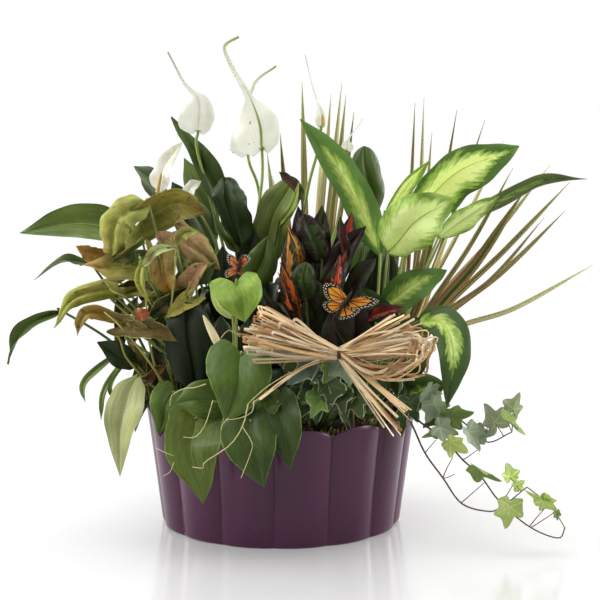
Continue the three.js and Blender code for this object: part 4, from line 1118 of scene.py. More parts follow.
CANE_LEAVES = [
    ["broad", 38, -14, 24, CANE, [[380, 254, 8], [346, 180, 20], [300, 119, 26]],
     dict(bias=0.16, slot=3, ruffle=0.05)],
    ["broad", 54, 20, 20, CANE, [[412, 214, 16], [462, 172, 8], [519, 146, 6]],
     dict(wave=2, ruffle=0.06)],
    ["broad", 58, 12, 20, CANE_LIME, [[388, 252, -16], [418, 222, -30], [455, 198, -28]],
     dict(wave=3, ruffle=0.1, slot=4, ragged=0.04)],
    ["lance", 17, 24, 24, CANE_GREY, [[446, 228, 10], [500, 200, 4], [545, 180, 2], [587, 179, 4]],
     dict(slot=2, twist=90, ruffle=0.07)],
    ["lance", 26, 24, 18, CANE_LIME, [[438, 238, 6], [468, 216, 2], [500, 196, 2]],
     dict(ruffle=0.08, slot=4)],
    ["lance", 18, 30, 20, CANE_LIME, [[384, 218, 30], [406, 186, 32], [430, 160, 36]], {}],
    ["broad", 36, 14, 20, CANE, [[384, 306, -18], [415, 286, -30], [447, 270, -28]],
     dict(slot=3, ruffle=0.07)],
    ["lance", 26, -14, 16, CANE_DEEP, [[398, 328, -26], [378, 306, -38], [360, 287, -38]], dict(slot=2)],
    ["broad", 34, 16, 14, CANE_DEEP, [[396, 352, -20], [404, 330, -44], [420, 318, -52]], dict(slot=2)],
    ["broad", 34, -16, 14, CANE_DEEP, [[400, 380, -24], [416, 362, -50], [430, 352, -60]], dict(slot=2)],
    ["broad", 32, 6, 14, CANE_DEEP, [[404, 398, -30], [424, 388, -62], [446, 384, -76]], dict(slot=2)],
    ["broad", 38, -8, 24, CANE_DEEP, [[416, 322, -36], [442, 326, -62], [453, 362, -86], [447, 407, -92]],
     dict(slot=3, ruffle=0.06)],
    ["broad", 36, 0, 14, CANE_DEEP, [[376, 402, -56], [370, 382, -66], [368, 354, -68]], dict(slot=2)],
]
BACK_VINE_CROWN = (-8, 98)

# Straps: [width, roll, points].
DRAGON_RIGHT_CROWN = (96, 56)
DRAGON_RIGHT = [
    [9, 10, [420, 320, 52], [470, 245, 46], [513, 168, 44]],
    [19, -20, [428, 322, 44], [478, 262, 36], [525, 190, 32]],
    [9, 20, [424, 316, 62], [490, 240, 60], [550, 165, 60]],
    [10, -10, [432, 322, 56], [505, 250, 50], [570, 182, 48]],
    [10, 10, [434, 326, 48], [502, 272, 40], [565, 211, 36]],
    [9, 10, [440, 336, 40], [515, 308, 30], [593, 265, 24]],
    [8, 0, [430, 326, 36], [490, 280, 26], [544, 218, 22]],
    [8, 30, [404, 300, 74], [410, 200, 74], [415, 103, 76]],
    [8, -20, [410, 300, 80], [420, 200, 84], [424, 98, 88]],
    [8, 10, [408, 300, 66], [424, 215, 62], [432, 132, 62]],
    [9, 20, [414, 305, 70], [438, 210, 68], [457, 110, 70]],
    [8, -30, [418, 308, 76], [455, 210, 78], [485, 120, 82]],
    [8, 20, [416, 312, 84], [462, 225, 88], [504, 140, 94]],
    [11, 10, [398, 312, 60], [403, 264, 62], [410, 216, 64]],
    [11, -10, [412, 312, 64], [422, 264, 66], [434, 216, 68]],
    [11, 20, [420, 314, 70], [434, 270, 72], [452, 224, 74]],
    [10, 0, [392, 312, 66], [395, 272, 66], [400, 228, 68]],
]
DRAGON_MID_CROWN = (24, 66)
DRAGON_MID = [
    [9, 10, [306, 300, 62], [304, 190, 64], [302, 82, 68]],
    [8, -10, [318, 300, 66], [332, 190, 70], [342, 82, 76]],
    [8, 20, [312, 300, 72], [322, 190, 78], [331, 94, 84]],
    [8, 0, [322, 300, 60], [336, 190, 62], [346, 95, 64]],
    [8, 30, [324, 300, 76], [342, 200, 84], [354, 112, 92]],
    [8, -20, [296, 300, 58], [287, 210, 54], [280, 133, 54]],
    [8, 10, [292, 300, 52], [276, 220, 46], [267, 152, 46]],
    [9, 0, [300, 316, 90], [288, 236, 124], [272, 176, 170]],
    [9, 0, [314, 316, 84], [318, 220, 112], [322, 140, 150]],
]

# Ivy leaves of the centre: [width, roll, throat, middle, tip].
IVY_CROWN = (34, -84)
IVY_CENTRE = [
    [34, 6, [302, 360, -124], [300, 376, -130], [296, 394, -130]],
    [26, -4, [322, 366, -122], [321, 376, -126], [320, 388, -126]],
    [28, -8, [342, 362, -122], [345, 374, -124], [348, 390, -124]],
    [38, 6, [316, 386, -128], [318, 402, -134], [316, 420, -136]],
    [38, -10, [342, 384, -128], [344, 402, -134], [346, 424, -138]],
    [30, 12, [366, 388, -116], [370, 400, -120], [376, 416, -124]],
]
# More ivy leaves among them, in the same way, each with its own tint.
IVY_FILL = [
    [34, 20, [316, 360, -130], [305, 370, -138], [291, 382, -140], IVY_SLATE],
    [30, -30, [328, 358, -132], [322, 370, -138], [312, 384, -142], IVY_SLATE],
    [26, -10, [330, 366, -136], [327, 376, -142], [322, 387, -144], IVY_GREEN],
    [30, 25, [340, 362, -138], [346, 374, -142], [350, 389, -144], IVY_GREY],
    [27, 10, [322, 398, -134], [316, 408, -142], [309, 420, -144], IVY_GREEN],
    [30, -15, [338, 392, -134], [342, 404, -142], [345, 419, -146], IVY_DARK],
    [24, 30, [352, 396, -132], [358, 408, -138], [362, 421, -140], IVY_DARK],
    [28, 0, [356, 372, -126], [362, 384, -132], [366, 399, -134], IVY_DARK],
    [25, -25, [302, 388, -128], [295, 397, -132], [286, 407, -134], IVY_DARK],
    [26, 5, [328, 384, -140], [330, 396, -144], [330, 411, -146], IVY_DARK],
    [24, 35, [372, 398, -124], [378, 408, -130], [385, 418, -132], IVY_DARK],
    [24, -35, [308, 396, -124], [302, 408, -130], [296, 420, -134], IVY_DARK],
]
TRAIL_CROWN = (92, -58)
TRAIL_STEMS = [
    [[396, 398, -66], [412, 425, -80], [425, 453, -94], [443, 478, -104], [461, 503, -114],
     [485, 511, -120], [500, 508, -122], [527, 487, -120]],
    [[400, 396, -60], [418, 420, -72], [442, 437, -82], [463, 460, -92], [480, 475, -98],
     [500, 502, -110], [530, 527, -122], [558, 538, -128], [565, 528, -128]],
    [[404, 396, -54], [430, 414, -62], [460, 420, -68], [486, 442, -76], [512, 432, -78]],
]
# Stalks that have lost their leaves: [start by a stem, end].
BARE_STALKS = [
    [[424, 453, -94], [436, 440, -92]],
    [[444, 478, -104], [453, 457, -100]],
    [[444, 478, -104], [455, 474, -106]],
    [[461, 503, -114], [485, 482, -108]],
    [[500, 508, -120], [515, 482, -116]],
    [[530, 527, -122], [546, 507, -122]],
    [[532, 527, -122], [559, 509, -126]],
    [[486, 442, -76], [490, 418, -74]],
    [[463, 460, -92], [480, 448, -86]],
]
# Leaves of the trailing stems: [width, across, down, depth, turn, tint], and where the throat,
# the middle and the tip of one are, as shares of its width.
TRAIL_SHARES = (-0.4, 0, 0.5)
TRAIL_LEAVES = [
    [26, 425, 398, -68, -30, TRAIL_GREY], [27, 440, 412, -74, 40, TRAIL_GREY],
    [30, 462, 414, -74, 100, TRAIL_GREEN], [26, 490, 414, -72, -150, TRAIL_GREY],
    [20, 516, 402, -70, 160, TRAIL_GREY], [28, 515, 427, -84, 50, TRAIL_GREEN],
    [22, 448, 430, -88, 70, TRAIL_GREY], [25, 474, 440, -84, 30, TRAIL_GREY],
    [22, 458, 446, -98, 60, IVY_LIME], [28, 487, 473, -106, 60, TRAIL_GREEN],
    [16, 509, 471, -108, -170, IVY_LIME], [13, 521, 483, -116, 120, IVY_LIME],
    [22, 536, 497, -122, -110, IVY_LIME], [20, 550, 506, -126, 50, IVY_LIME],
    [29, 508, 518, -124, -10, IVY_LIME], [17, 431, 434, -80, -60, TRAIL_GREEN],
    [20, 484, 433, -70, 90, TRAIL_GREY], [9, 557, 517, -128, 10, TRAIL_GREEN],
    [26, 414, 412, -66, 20, IVY_DARK], [24, 404, 424, -72, -10, IVY_DARK],
    [28, 400, 390, -58, 0, IVY_DARK], [30, 397, 386, -46, 20, IVY_DARK], [24, 430, 422, -64, -50, IVY_DARK],
]

# Peace lily blooms: the stalk and the midrib of the spathe, its width, roll and cup, how long its
# spadix is, its outline, the tint of its tail, how uneven its halves are, and if its rib is green.
TAIL_GREY = paint("#c4c4b4")
TAIL_GREEN = paint("#aab468")
TAIL_WHITE = paint("#e4e6d0")
BLOOMS = [
    dict(stalk=[[236, 300, 46], [212, 205, 44], [197, 150, 40], [198, 134, 38]],
         spathe=[[198, 133, 38], [199, 99, 32], [184, 82, 34], [168, 52, 38]],
         width=36, roll=0, cup=18, spadix=0, kind="spathe",
         tail=TAIL_GREY, bias=-0.16, rib=False),
    dict(stalk=[[256, 300, 40], [255, 240, 34], [262, 180, 32], [262, 152, 32]],
         spathe=[[262, 150, 32], [260, 126, 26], [251, 100, 26], [233, 68, 28], [225, 47, 30],
                 [239, 37, 32]],
         width=47, roll=6, cup=14, spadix=0, kind="spathe",
         tail=TAIL_GREEN, bias=-0.2, rib=True),
    dict(stalk=[[262, 300, 62], [260, 200, 62], [250, 165, 60], [248, 156, 60]],
         spathe=[[248, 155, 60], [246, 125, 58], [256, 84, 60], [276, 66, 62]],
         width=36, roll=10, cup=14, spadix=0, kind="spathe",
         tail=TAIL_GREEN, bias=0, rib=False),
    dict(stalk=[[228, 300, 30], [205, 235, 14], [180, 206, 2], [160, 195, -2]],
         spathe=[[159, 194, -2], [164, 168, -8], [182, 142, -6]],
         width=22, roll=-20, cup=22, spadix=20, kind="broad",
         tail=TAIL_WHITE, bias=0, rib=False),
    dict(stalk=[[296, 300, 44], [306, 200, 42], [318, 150, 42], [321, 128, 42]],
         spathe=[[321, 127, 42], [320, 108, 38], [312, 84, 40], [305, 55, 42]],
         width=16, roll=30, cup=22, spadix=12, kind="spathe",
         tail=TAIL_GREY, bias=0, rib=False),
    dict(stalk=[[322, 300, 28], [338, 220, 32], [346, 170, 34], [347, 152, 34]],
         spathe=[[347, 151, 34], [350, 138, 31], [363, 119, 34]],
         width=14, roll=0, cup=20, spadix=0, kind="spathe",
         tail=TAIL_WHITE, bias=0, rib=False),
    dict(stalk=[[232, 300, 24], [214, 240, 8], [194, 206, -6], [186, 198, -10]],
         spathe=[[185, 197, -10], [191, 188, -14], [201, 181, -12]],
         width=14, roll=-10, cup=18, spadix=0, kind="broad",
         tail=TAIL_WHITE, bias=0, rib=False),
]
# The blooms of the two lilies that carry them, by their place above.
LILY_BLOOMS = (0, 1, 2, 3, 6)
LILY_RIGHT_BLOOMS = (4, 5)
SPADIX_R = 2.2
SPADIX_OUT = 4.4

LOOKS = {
    "lily": leaf_look("lily_leaf", veins=22, lean=0.2, rib=paint("#a9b56c"), rib_width=0.045,
                      vein_show=0.07, roughness=0.34, coat=0.06, streak=0.2),
    # Painted shadow: the look of the leaf that is drawn as in shadow, with a dark rib and veins that barely
    # show.
    "shadowed_lily": leaf_look("dark_lily_leaf", veins=9, lean=0.25, rib=paint("#46542c"),
                           rib_width=0.03, vein_show=0.02, roughness=0.5, coat=0.0, glow=0.1,
                           rib_show=0.3),
    "arrowhead": leaf_look("arrowhead_leaf", veins=7, lean=0.3, rib=paint("#ab8f6c"),
                           rib_width=0.05, vein_show=0.34, roughness=0.52, coat=0.0, glow=0.26,
                           mottle=0.36, edge=paint("#a8ac5c"), edge_from=0.95,
                           blush=paint("#8f7040"), below=paint("#7f6638"), streak=0.16,
                           spots=0.75),
    "heart": leaf_look("heart_leaf", veins=6, lean=0.55, rib=paint("#84a052"), rib_width=0.03,
                       vein_show=0.1, roughness=0.42, coat=0.06, glow=0.25, mottle=0.24,
                       edge=paint("#7f9c48"), edge_from=0.97, streak=0.16),
    "ivy": leaf_look("ivy_leaf", veins=4, lean=0.4, rib=paint("#93a27e"), rib_width=0.03,
                     vein_show=0.08, roughness=0.5, coat=0.0, glow=0.25, mottle=0.3,
                     edge=paint("#a9b48a"), edge_from=0.94, rib_show=0.4),
    "croton": croton_look("croton_leaf"),
    "cane": variegated_look("cane_leaf", "#fbffc0", "#b4cf62", "#b4c96a", reach=0.14),
    "lime_cane": variegated_look("lime_cane_leaf", "#edf6b4", "#b6d068", "#9dbb54", reach=0.3),
    "mid_cane": variegated_look("mid_cane_leaf", "#d6e290", "#97b450", "#b4c96a", reach=-0.16),
    "green_cane": variegated_look("green_cane_leaf", "#c3cf86", "#7f9d48", "#8fa852", reach=-0.36),
    "strap": strap_look("strap_leaf"),
    "stalk": stalk_look(),
    "petal": petal_look("spathe", "#cdd2b4", rib_show=0.4),
    "ribbed_petal": petal_look("ribbed_spathe", "#9fae5c", rib_show=0.85),
    "spadix": spadix_look(),
    "raffia": raffia_look(),
    "pot": pot_look(),
    "soil": soil_look(),
    "moss": moss_look(),
    "orange_wing": wing_look("orange_wing", "#f0a83a", "#d9801e", "#120d0a", "#f2ead8"),
    "red_wing": wing_look("red_wing", "#df8a3c", "#a8381a", "#120c0a", "#fbf6ea"),
    "insect": fuzz_look(),
}

# Leaves placed by rule round a crown: their azimuths in degrees, and how far out, how high and
# how wide they are.
# Sprays in the near-black filler tints are painted shade that fills the core of the planting.
SPRAYS = {
    "peace_lily": [
        dict(seed=11, count=4, kind="broad", azimuth=[106, 172], reach=[96, 150],
             height=[205, 300], width=[38, 48], droop=46, tint=LILY, stem=STEM_DEEP),
        dict(seed=61, count=26, kind="broad", azimuth=[0, 360], reach=[40, 98],
             height=[140, 240], width=[34, 44], droop=40, tint=SHADE_FILL, stem=STEM_DEEP),
    ],
    "peace_lily_right": [
        dict(seed=69, count=14, kind="broad", azimuth=[170, 360], reach=[30, 84],
             height=[130, 236], width=[30, 40], droop=36, tint=SHADE_FILL, stem=STEM_DEEP),
        dict(seed=23, count=4, kind="broad", azimuth=[36, 92], reach=[70, 122],
             height=[165, 280], width=[36, 46], droop=40, tint=LILY, stem=STEM_DEEP),
    ],
    "peace_lily_low": [
        dict(seed=63, count=9, kind="lance", azimuth=[110, 300], reach=[20, 52],
             height=[128, 206], width=[26, 34], droop=30, tint=SHADE_FILL, stem=STEM_DEEP),
    ],
    "arrowhead_vine": [
        dict(seed=67, count=9, kind="arrow", azimuth=[90, 280], reach=[34, 84],
             height=[160, 240], width=[26, 36], droop=30, tint=SHADE_FILL_OLIVE, stem=STEM_PALE),
    ],
    "croton": [
        dict(seed=65, count=18, kind="lance", azimuth=[170, 370], reach=[22, 60],
             height=[118, 204], width=[24, 30], droop=20, tint=CROTON_GREEN, stem=STEM_DEEP),
    ],
    "heartleaf_vine": [
        dict(seed=71, count=9, kind="heart", azimuth=[0, 360], reach=[20, 44],
             height=[116, 180], width=[30, 40], droop=24, tint=SHADE_FILL, stem=STEM_DEEP),
    ],
    "heartleaf_vine_back": [
        dict(seed=47, count=4, kind="heart", azimuth=[30, 150], reach=[50, 60],
             height=[142, 168], width=[42, 52], droop=64, tint=HEART, stem=STEM_PALE, hang=True),
    ],
    "dumb_cane": [
        dict(seed=31, count=2, kind="broad", azimuth=[2, 34], reach=[66, 78],
             height=[136, 156], width=[32, 38], droop=12, tint=CANE, stem=STEM_PALE),
    ],
}


def stock(batch, crown, tint):
    """The short root stock that the stalks rise from."""
    path = [np.array([*crown, z]) for z in STOCK_HEIGHTS]
    tube(batch, path, (CROWN_R, CROWN_R * 0.8), tint, sides=12, slot=1)


def plant(node, crown, rows, looks, stem, seed, extra=None):
    """A plant: its root stock, its leaves from rows, what extra adds, and its sprays."""
    batch = Batch()
    stock(batch, crown, stem)
    for i, (kind, width, roll, fold, tint, points, options) in enumerate(rows):
        path = sheets(points)
        stalked(batch, crown, kind, width, roll, fold, path, tint, stem, seed=seed + i, **options)
    if extra:
        extra(batch)
    for row in SPRAYS.get(node, []):
        spray(batch, crown, **row)
    batch.piece(node, looks)


def spathe_path(bloom):
    """A spathe's midrib, whose foot is moved a little way up it, and its direction there."""
    path = sheets(bloom["spathe"])
    path[0] = path[0] + (path[1] - path[0]) * 0.1
    _, along = spline(path, np.array([0.0]))
    return path, along[0]


def bloom_stalk_r(s):
    """The radius of a bloom's stalk, which thins upwards and swells under the spathe."""
    return STALK_R - 0.3 * s + 2.2 * np.clip(s - 0.94, 0, 1) / 0.06


def bloom_stalks(batch, crown, blooms):
    """The stalks of some blooms, from their crown to just under their spathes."""
    for i in blooms:
        path, along = spathe_path(BLOOMS[i])
        around = i * 1.3
        foot = np.array([crown[0] + 3 * math.cos(around), crown[1] + 3 * math.sin(around), STALK_ROOT])
        middle = sheets(BLOOMS[i]["stalk"][:3])
        top = path[0] - along * (GAP + 0.05)
        neck = top - along * 3
        tube(batch, [foot, *middle, neck, top], bloom_stalk_r, BLOOM_STEM, sides=8, steps=40, slot=1)


def lily_stalks(batch):
    """The bloom stalks of the middle peace lily."""
    bloom_stalks(batch, LILY_CROWN, LILY_BLOOMS)


def lily_right_stalks(batch):
    """The bloom stalks of the right peace lily."""
    bloom_stalks(batch, LILY_RIGHT_CROWN, LILY_RIGHT_BLOOMS)


def make_lilies():
    plant("peace_lily", LILY_CROWN, LILY_LEAVES, ["lily", "stalk"], STEM_DEEP, 100, lily_stalks)
    plant("peace_lily_left", LILY_LEFT_CROWN, LILY_LEFT_LEAVES, ["lily", "stalk", "shadowed_lily"],
          STEM_DEEP, 120)
    plant("peace_lily_low", LILY_LOW_CROWN, LILY_LOW_LEAVES, ["lily", "stalk", "shadowed_lily"],
          STEM_PALE, 140)
    plant("peace_lily_right", LILY_RIGHT_CROWN, LILY_RIGHT_LEAVES, ["lily", "stalk"], STEM_DEEP,
          160, lily_right_stalks)


def spathe(node, bloom, seed):
    """A white spathe, whose tail takes its own colour."""
    path, _ = spathe_path(bloom)
    batch = Batch()
    grow(batch, bloom["kind"], bloom["width"], bloom["roll"], bloom["cup"], path, SPATHE_WHITE,
         seed=seed, tip=bloom["tail"], bias=bloom["bias"], ruffle=0.12, twist=0, ragged=0.05,
         tip_power=3, vary=0.02)
    batch.piece(node, ["ribbed_petal" if bloom["rib"] else "petal"])


def spadix_r(s):
    """The radius of a spadix, which tapers, has a blunt tip and is knobbly."""
    return SPADIX_R * (1 - 0.35 * s) * (1 - 0.5 * s**8) * (1 + 0.1 * np.sin(s * 70))


def spadix(node, bloom):
    """A spadix that stands before its spathe."""
    path, along = spathe_path(bloom)
    front = unit(TO_EYE - along * (TO_EYE @ along))
    front = turned(front, along, math.radians(bloom["roll"]))
    foot = path[0] + front * SPADIX_OUT
    tip = foot + along * bloom["spadix"]
    batch = Batch()
    tube(batch, [foot, (foot + tip) / 2, tip], spadix_r, SPADIX_CREAM, sides=16, steps=44)
    batch.piece(node, ["spadix"])


def make_blooms():
    for i, bloom in enumerate(BLOOMS):
        spathe(f"lily_spathe_{i + 1}", bloom, 200 + i)
        if bloom["spadix"]:
            spadix(f"lily_spadix_{i + 1}", bloom)


# Thin stalks among the arrowheads that carry no leaf.
STRAY_STALKS = [
    [[172, 392, -70], [142, 352, -92], [118, 324, -96], [104, 312, -92]],
    [[168, 394, -66], [150, 346, -86], [146, 300, -92], [142, 268, -90]],
    [[178, 396, -60], [168, 350, -80], [172, 300, -90], [176, 256, -92]],
    [[160, 392, -60], [128, 360, -78], [120, 340, -84], [112, 332, -86]],
]
# Cream aerial roots that hang among the heart-shaped leaves: [radius, points].
AERIAL_ROOTS = [
    [0.55, [206, 384, -150], [193, 388, -152], [186, 388, -152], [172, 395, -146], [170, 406, -142]],
    [0.5, [213, 400, -150], [205, 425, -154], [195, 437, -150], [183, 437, -148]],
    [0.6, [248, 404, -158], [243, 425, -162], [230, 445, -160], [205, 462, -156],
     [203, 468, -155], [192, 467, -153]],
    [0.5, [242, 426, -162], [252, 443, -162], [250, 455, -160], [241, 478, -156]],
    [0.55, [291, 372, -142], [268, 386, -152], [254, 398, -158], [248, 404, -158]],
    [0.45, [254, 400, -158], [252, 412, -160], [240, 418, -160], [226, 420, -156]],
    [0.4, [228, 418, -156], [223, 424, -154], [221, 430, -153]],
    [0.4, [156, 448, -136], [164, 452, -140], [174, 456, -143]],
    [0.35, [174, 462, -144], [170, 472, -146], [163, 476, -144]],
    [0.45, [221, 338, -122], [229, 330, -126], [240, 337, -122]],
]
# The cream sheath of a new leaf, and the stem that it stands on.
SHEATH = [[221, 350, -112], [213, 334, -112], [203, 315, -110]]
SHEATH_STEM = [[224, 356, -110], [218, 344, -112]]


def stray_stalks(batch):
    """The stalks among the arrowheads that carry no leaf."""
    for points in STRAY_STALKS:
        foot = np.array([*ARROWHEAD_CROWN, STALK_ROOT])
        tube(batch, [foot, *sheets(points)], (1.5, 0.8), STEM_OLIVE, slot=1)


def sheath_r(s):
    """The radius of the sheath, which swells below its middle."""
    return 4 * np.sin(math.pi * (0.18 + 0.8 * s)) ** 0.7


def sheath_and_roots(batch):
    """The sheath of the new leaf, its stem, and the aerial roots."""
    tube(batch, sheets(SHEATH), sheath_r, SHEATH_CREAM, sides=12, steps=16, flat=0.6,
         slot=1)
    foot = np.array([*HEART_CROWN, STALK_ROOT])
    tube(batch, [foot, *sheets(SHEATH_STEM)], (2, 1.6), STEM_PALE, slot=1)
    for width, *points in AERIAL_ROOTS:
        tube(batch, sheets(points), (width, width * 0.6), ROOT_CREAM, sides=6, slot=1)


def make_vines():
    plant("arrowhead_vine", ARROWHEAD_CROWN, ARROWHEAD_LEAVES, ["arrowhead", "stalk"], STEM_PALE,
          600, stray_stalks)
    plant("heartleaf_vine", HEART_CROWN, HEART_LEAVES, ["heart", "stalk"], STEM_PALE, 300,
          sheath_and_roots)
    plant("heartleaf_vine_back", BACK_VINE_CROWN, [], ["heart", "stalk"], STEM_PALE, 0)


def make_croton_and_cane():
    cane_looks = ["cane", "stalk", "green_cane", "mid_cane", "lime_cane"]
    plant("croton", CROTON_CROWN, CROTON_LEAVES, ["croton", "stalk"], STEM_DEEP, 700)
    plant("dumb_cane", CANE_CROWN, CANE_LEAVES, cane_looks, STEM_PALE, 400)


def make_straps(node, crown, rows, seed, slim):
    """A rosette of straps, whose widths are all scaled by slim."""
    batch = Batch()
    stock(batch, crown, STEM_DEEP)
    rng = np.random.default_rng(seed)
    root = np.array([*crown, STALK_ROOT])
    for i, (width, roll, *points) in enumerate(rows):
        tint = (STRAP_OLIVE, STRAP_PALE, STRAP_DEEP)[rng.integers(3)]
        if width > STRAP_BROAD:
            tint = STRAP_DEEP
        path = [root, *sheets(points)]
        grow(batch, "strap", width * slim, roll, STRAP_FOLD, path, tint, seed=seed + i, ruffle=0,
             ragged=0.01)
    batch.piece(node, ["strap", "stalk"])


# An ivy leaf is a fan of rings round its throat. Its lobes are given by how far each direction
# reaches, from the tip (0 degrees) to the notch at the stalk (180), and its veins by theirs.
IVY_LOBES = profile([0, 32, 56, 88, 118, 150, 180], [1, 0.6, 0.76, 0.5, 0.55, 0.42, 0.12])
IVY_VEINS = (0, 56, -56, 118, -118)
IVY_VEIN_HALF = 1.3
IVY_ANGLES = np.radians(np.arange(0, 360, 6) + 0.01)
IVY_RINGS = np.array([0.0, 0.12, 0.26, 0.42, 0.58, 0.74, 0.88, 1.0])[:, None]
IVY_HALF = 0.25
# The leaves of IVY_CENTRE are drawn smaller than their widths. Stalks are given by their radii.
CENTRE_SCALE = 0.85
CENTRE_STALK = (1.1, 0.8)
FILL_STALK = (0.9, 0.6)
# The trailing stems carry leaves from this share of their length on. The leaves stand a little
# before their places, roll by up to TRAIL_ROLL degrees, and swing more than those of the centre.
TRAIL_FROM = 0.25
TRAIL_PROUD = 6
TRAIL_ROLL = 30
TRAIL_SWING = 54


def ivy_veins(reach, length):
    """How near each point of an ivy leaf is to the middle of a vein, from 0 to 1."""
    vein = np.zeros_like(reach)
    for lobe in IVY_VEINS:
        apart = np.abs((np.degrees(IVY_ANGLES) - lobe + 180) % 360 - 180)
        off = np.radians(apart)[None, :] * reach * length
        vein = np.maximum(vein, np.exp(-((off / IVY_VEIN_HALF) ** 2)))
    return vein


def ivy_leaf(batch, width, roll, path, tint, seed, swing=26):
    """A five-lobed leaf with a raised net of veins from its throat to its lobes."""
    rng = np.random.default_rng(seed)
    folded = np.degrees(np.abs((IVY_ANGLES + math.pi) % (2 * math.pi) - math.pi))
    first, second = rng.uniform(0, 6, 2)
    uneven = 1 + 0.05 * np.sin(IVY_ANGLES * 9 + first) + 0.12 * np.sin(IVY_ANGLES + second)
    reach = IVY_RINGS * (IVY_LOBES(folded) * uneven)[None, :]
    roll = roll + rng.uniform(-swing, swing)
    cup = rng.uniform(0.04, 0.2)
    x = reach * np.sin(IVY_ANGLES)[None, :] * 1.05 * width / 1.15
    s = reach * np.cos(IVY_ANGLES)[None, :]
    vein = ivy_veins(reach, measure(path))
    waves = 0.08 * width * reach**2 * np.cos(IVY_ANGLES * 5)[None, :]
    lift = -0.3 * vein + waves - cup * width * reach**2
    place = placer(path, roll, rng.uniform(10, 36), width)
    across = 0.5 + 0.5 * np.broadcast_to(IVY_RINGS, reach.shape)
    on_vein = np.where(vein > 0.5, 0.5 + 0.02 * (1 - vein), across)
    uv = np.stack([on_vein, np.clip(s, 0, 1)], -1)
    shade = np.array(tint) * rng.uniform(0.85, 1.15)
    disc(batch, place(x, s, lift + IVY_HALF), place(x, s, lift - IVY_HALF), uv, shade)


def centre_leaf(batch, width, roll, points, tint, radii, seed):
    """An ivy leaf of the centre, on a thin stalk from the crown."""
    path = sheets(points)
    foot = np.array([*IVY_CROWN, STALK_ROOT])
    tube(batch, [foot, (foot + path[0]) / 2, path[0]], radii, STEM_DEEP, slot=1)
    ivy_leaf(batch, width, roll, path, tint, seed)


def make_ivy_centre():
    batch = Batch()
    stock(batch, IVY_CROWN, STEM_DEEP)
    for i, (width, roll, *points) in enumerate(IVY_CENTRE):
        centre_leaf(batch, width * CENTRE_SCALE, roll, points, IVY_DARK, CENTRE_STALK, 500 + i)
    for i, (width, roll, *points, tint) in enumerate(IVY_FILL):
        centre_leaf(batch, width, roll, points, tint, FILL_STALK, 540 + i)
    batch.piece("ivy_centre", ["ivy", "stalk"])


def nearest(lines, point, samples):
    """The place on the trailing stems that is nearest to a point."""
    places = np.vstack([spline(line, np.linspace(TRAIL_FROM, 1, samples))[0] for line in lines])
    return places[np.argmin(np.linalg.norm(places - point, axis=1))]


def bare_stalk(batch, lines, start, end):
    """A stalk that has lost its leaf."""
    join = nearest(lines, sheet(start), 121)
    far = sheet(end)
    path = [join, (join + far) / 2 - [1.5, 0, 1.5], far]
    tube(batch, path, (0.6, 0.4), BARE_BROWN, sides=6, slot=1)


def trail_leaf(batch, lines, i, row):
    """An ivy leaf on a short stalk from the trailing stem that is nearest to its throat."""
    width, across, down, depth, angle, tint = row
    a = math.radians(angle)
    path = []
    for share in TRAIL_SHARES:
        out = width * share
        place = [across + out * math.sin(a), down + out * math.cos(a), depth - TRAIL_PROUD]
        path.append(sheet(place))
    join = nearest(lines, path[0], 61)
    tube(batch, [join, (join + path[0]) / 2, path[0]], (0.6, 0.5), TRAIL_STALK, sides=6, slot=1)
    roll = TRAIL_ROLL * math.sin(i * 2.4)
    ivy_leaf(batch, width, roll, path, tint, 520 + i, TRAIL_SWING)


def make_ivy_trailing():
    batch = Batch()
    stock(batch, TRAIL_CROWN, STEM_DEEP)
    root = np.array([*TRAIL_CROWN, STALK_ROOT])
    lines = [[root, *sheets(stem)] for stem in TRAIL_STEMS]
    for line in lines:
        tube(batch, line, (1.2, 0.6), TRAIL_BROWN, slot=1)
    for start, end in BARE_STALKS:
        bare_stalk(batch, lines, start, end)
    for i, row in enumerate(TRAIL_LEAVES):
        trail_leaf(batch, lines, i, row)
    batch.piece("ivy_trailing", ["ivy", "stalk"])


# ---------------------------------------------------------------- raffia, butterflies

BOW_FOOT = (70, -96)
KNOT = [339, 354, -146]
# Loops of raffia: the far end of the top strand and of the bottom one on the way out, how far
# the strands fold back below them, and for some a point that the way back passes.
LOOPS = [
    dict(high=[268, 306, -150], low=[264, 344, -156], fold=[0, 8, 8], count=30),
    dict(high=[252, 322, -148], low=[256, 358, -152], fold=[3, 5, 8], count=12),
    dict(high=[284, 312, -154], low=[276, 352, -158], fold=[-4, 14, 10], count=5),
    dict(high=[412, 326, -150], low=[420, 346, -154], fold=[-6, 26, 6], back=[378, 374, -156], count=18),
    dict(high=[404, 330, -156], low=[412, 356, -156], fold=[-2, 10, 8], count=14),
]
# Loose ends, set out in the same way.
TAILS = [
    dict(high=[400, 312, -146], low=[420, 322, -148], count=11),
    dict(high=[413, 409, -152], low=[389, 440, -154], count=15),
    dict(high=[248, 402, -152], low=[252, 408, -150], count=3, bend=[296, 374, -152]),
    dict(high=[420, 385, -150], low=[412, 372, -150], count=3, bend=[384, 380, -152]),
]
WAIST = 4.6
TIE_TURNS = 4
TIE_CORNERS = 8
TIE_BROWN = paint("#4a3822")
PICK_BROWN = paint("#6f5a3a")
STRAWS = [paint(c) for c in ("#e8cc9c", "#fbe9c8", "#d2ab78", "#f1d9b0", "#b98d5c", "#f6e3be")]


def near_knot(rng, share):
    """A point of the knot's waist, between its top (0) and its foot (1)."""
    return sheet(KNOT) + [rng.normal(0, 0.8), rng.uniform(-3, 3), WAIST * (1 - 2 * share)]


def far_end(rng, row, share):
    """The far end of a strand, between those of its row's top and bottom strands."""
    end = np.array(row["high"]) + (np.array(row["low"]) - row["high"]) * share
    return end + [rng.normal(0, 6), rng.normal(0, 2), rng.normal(0, 5)]


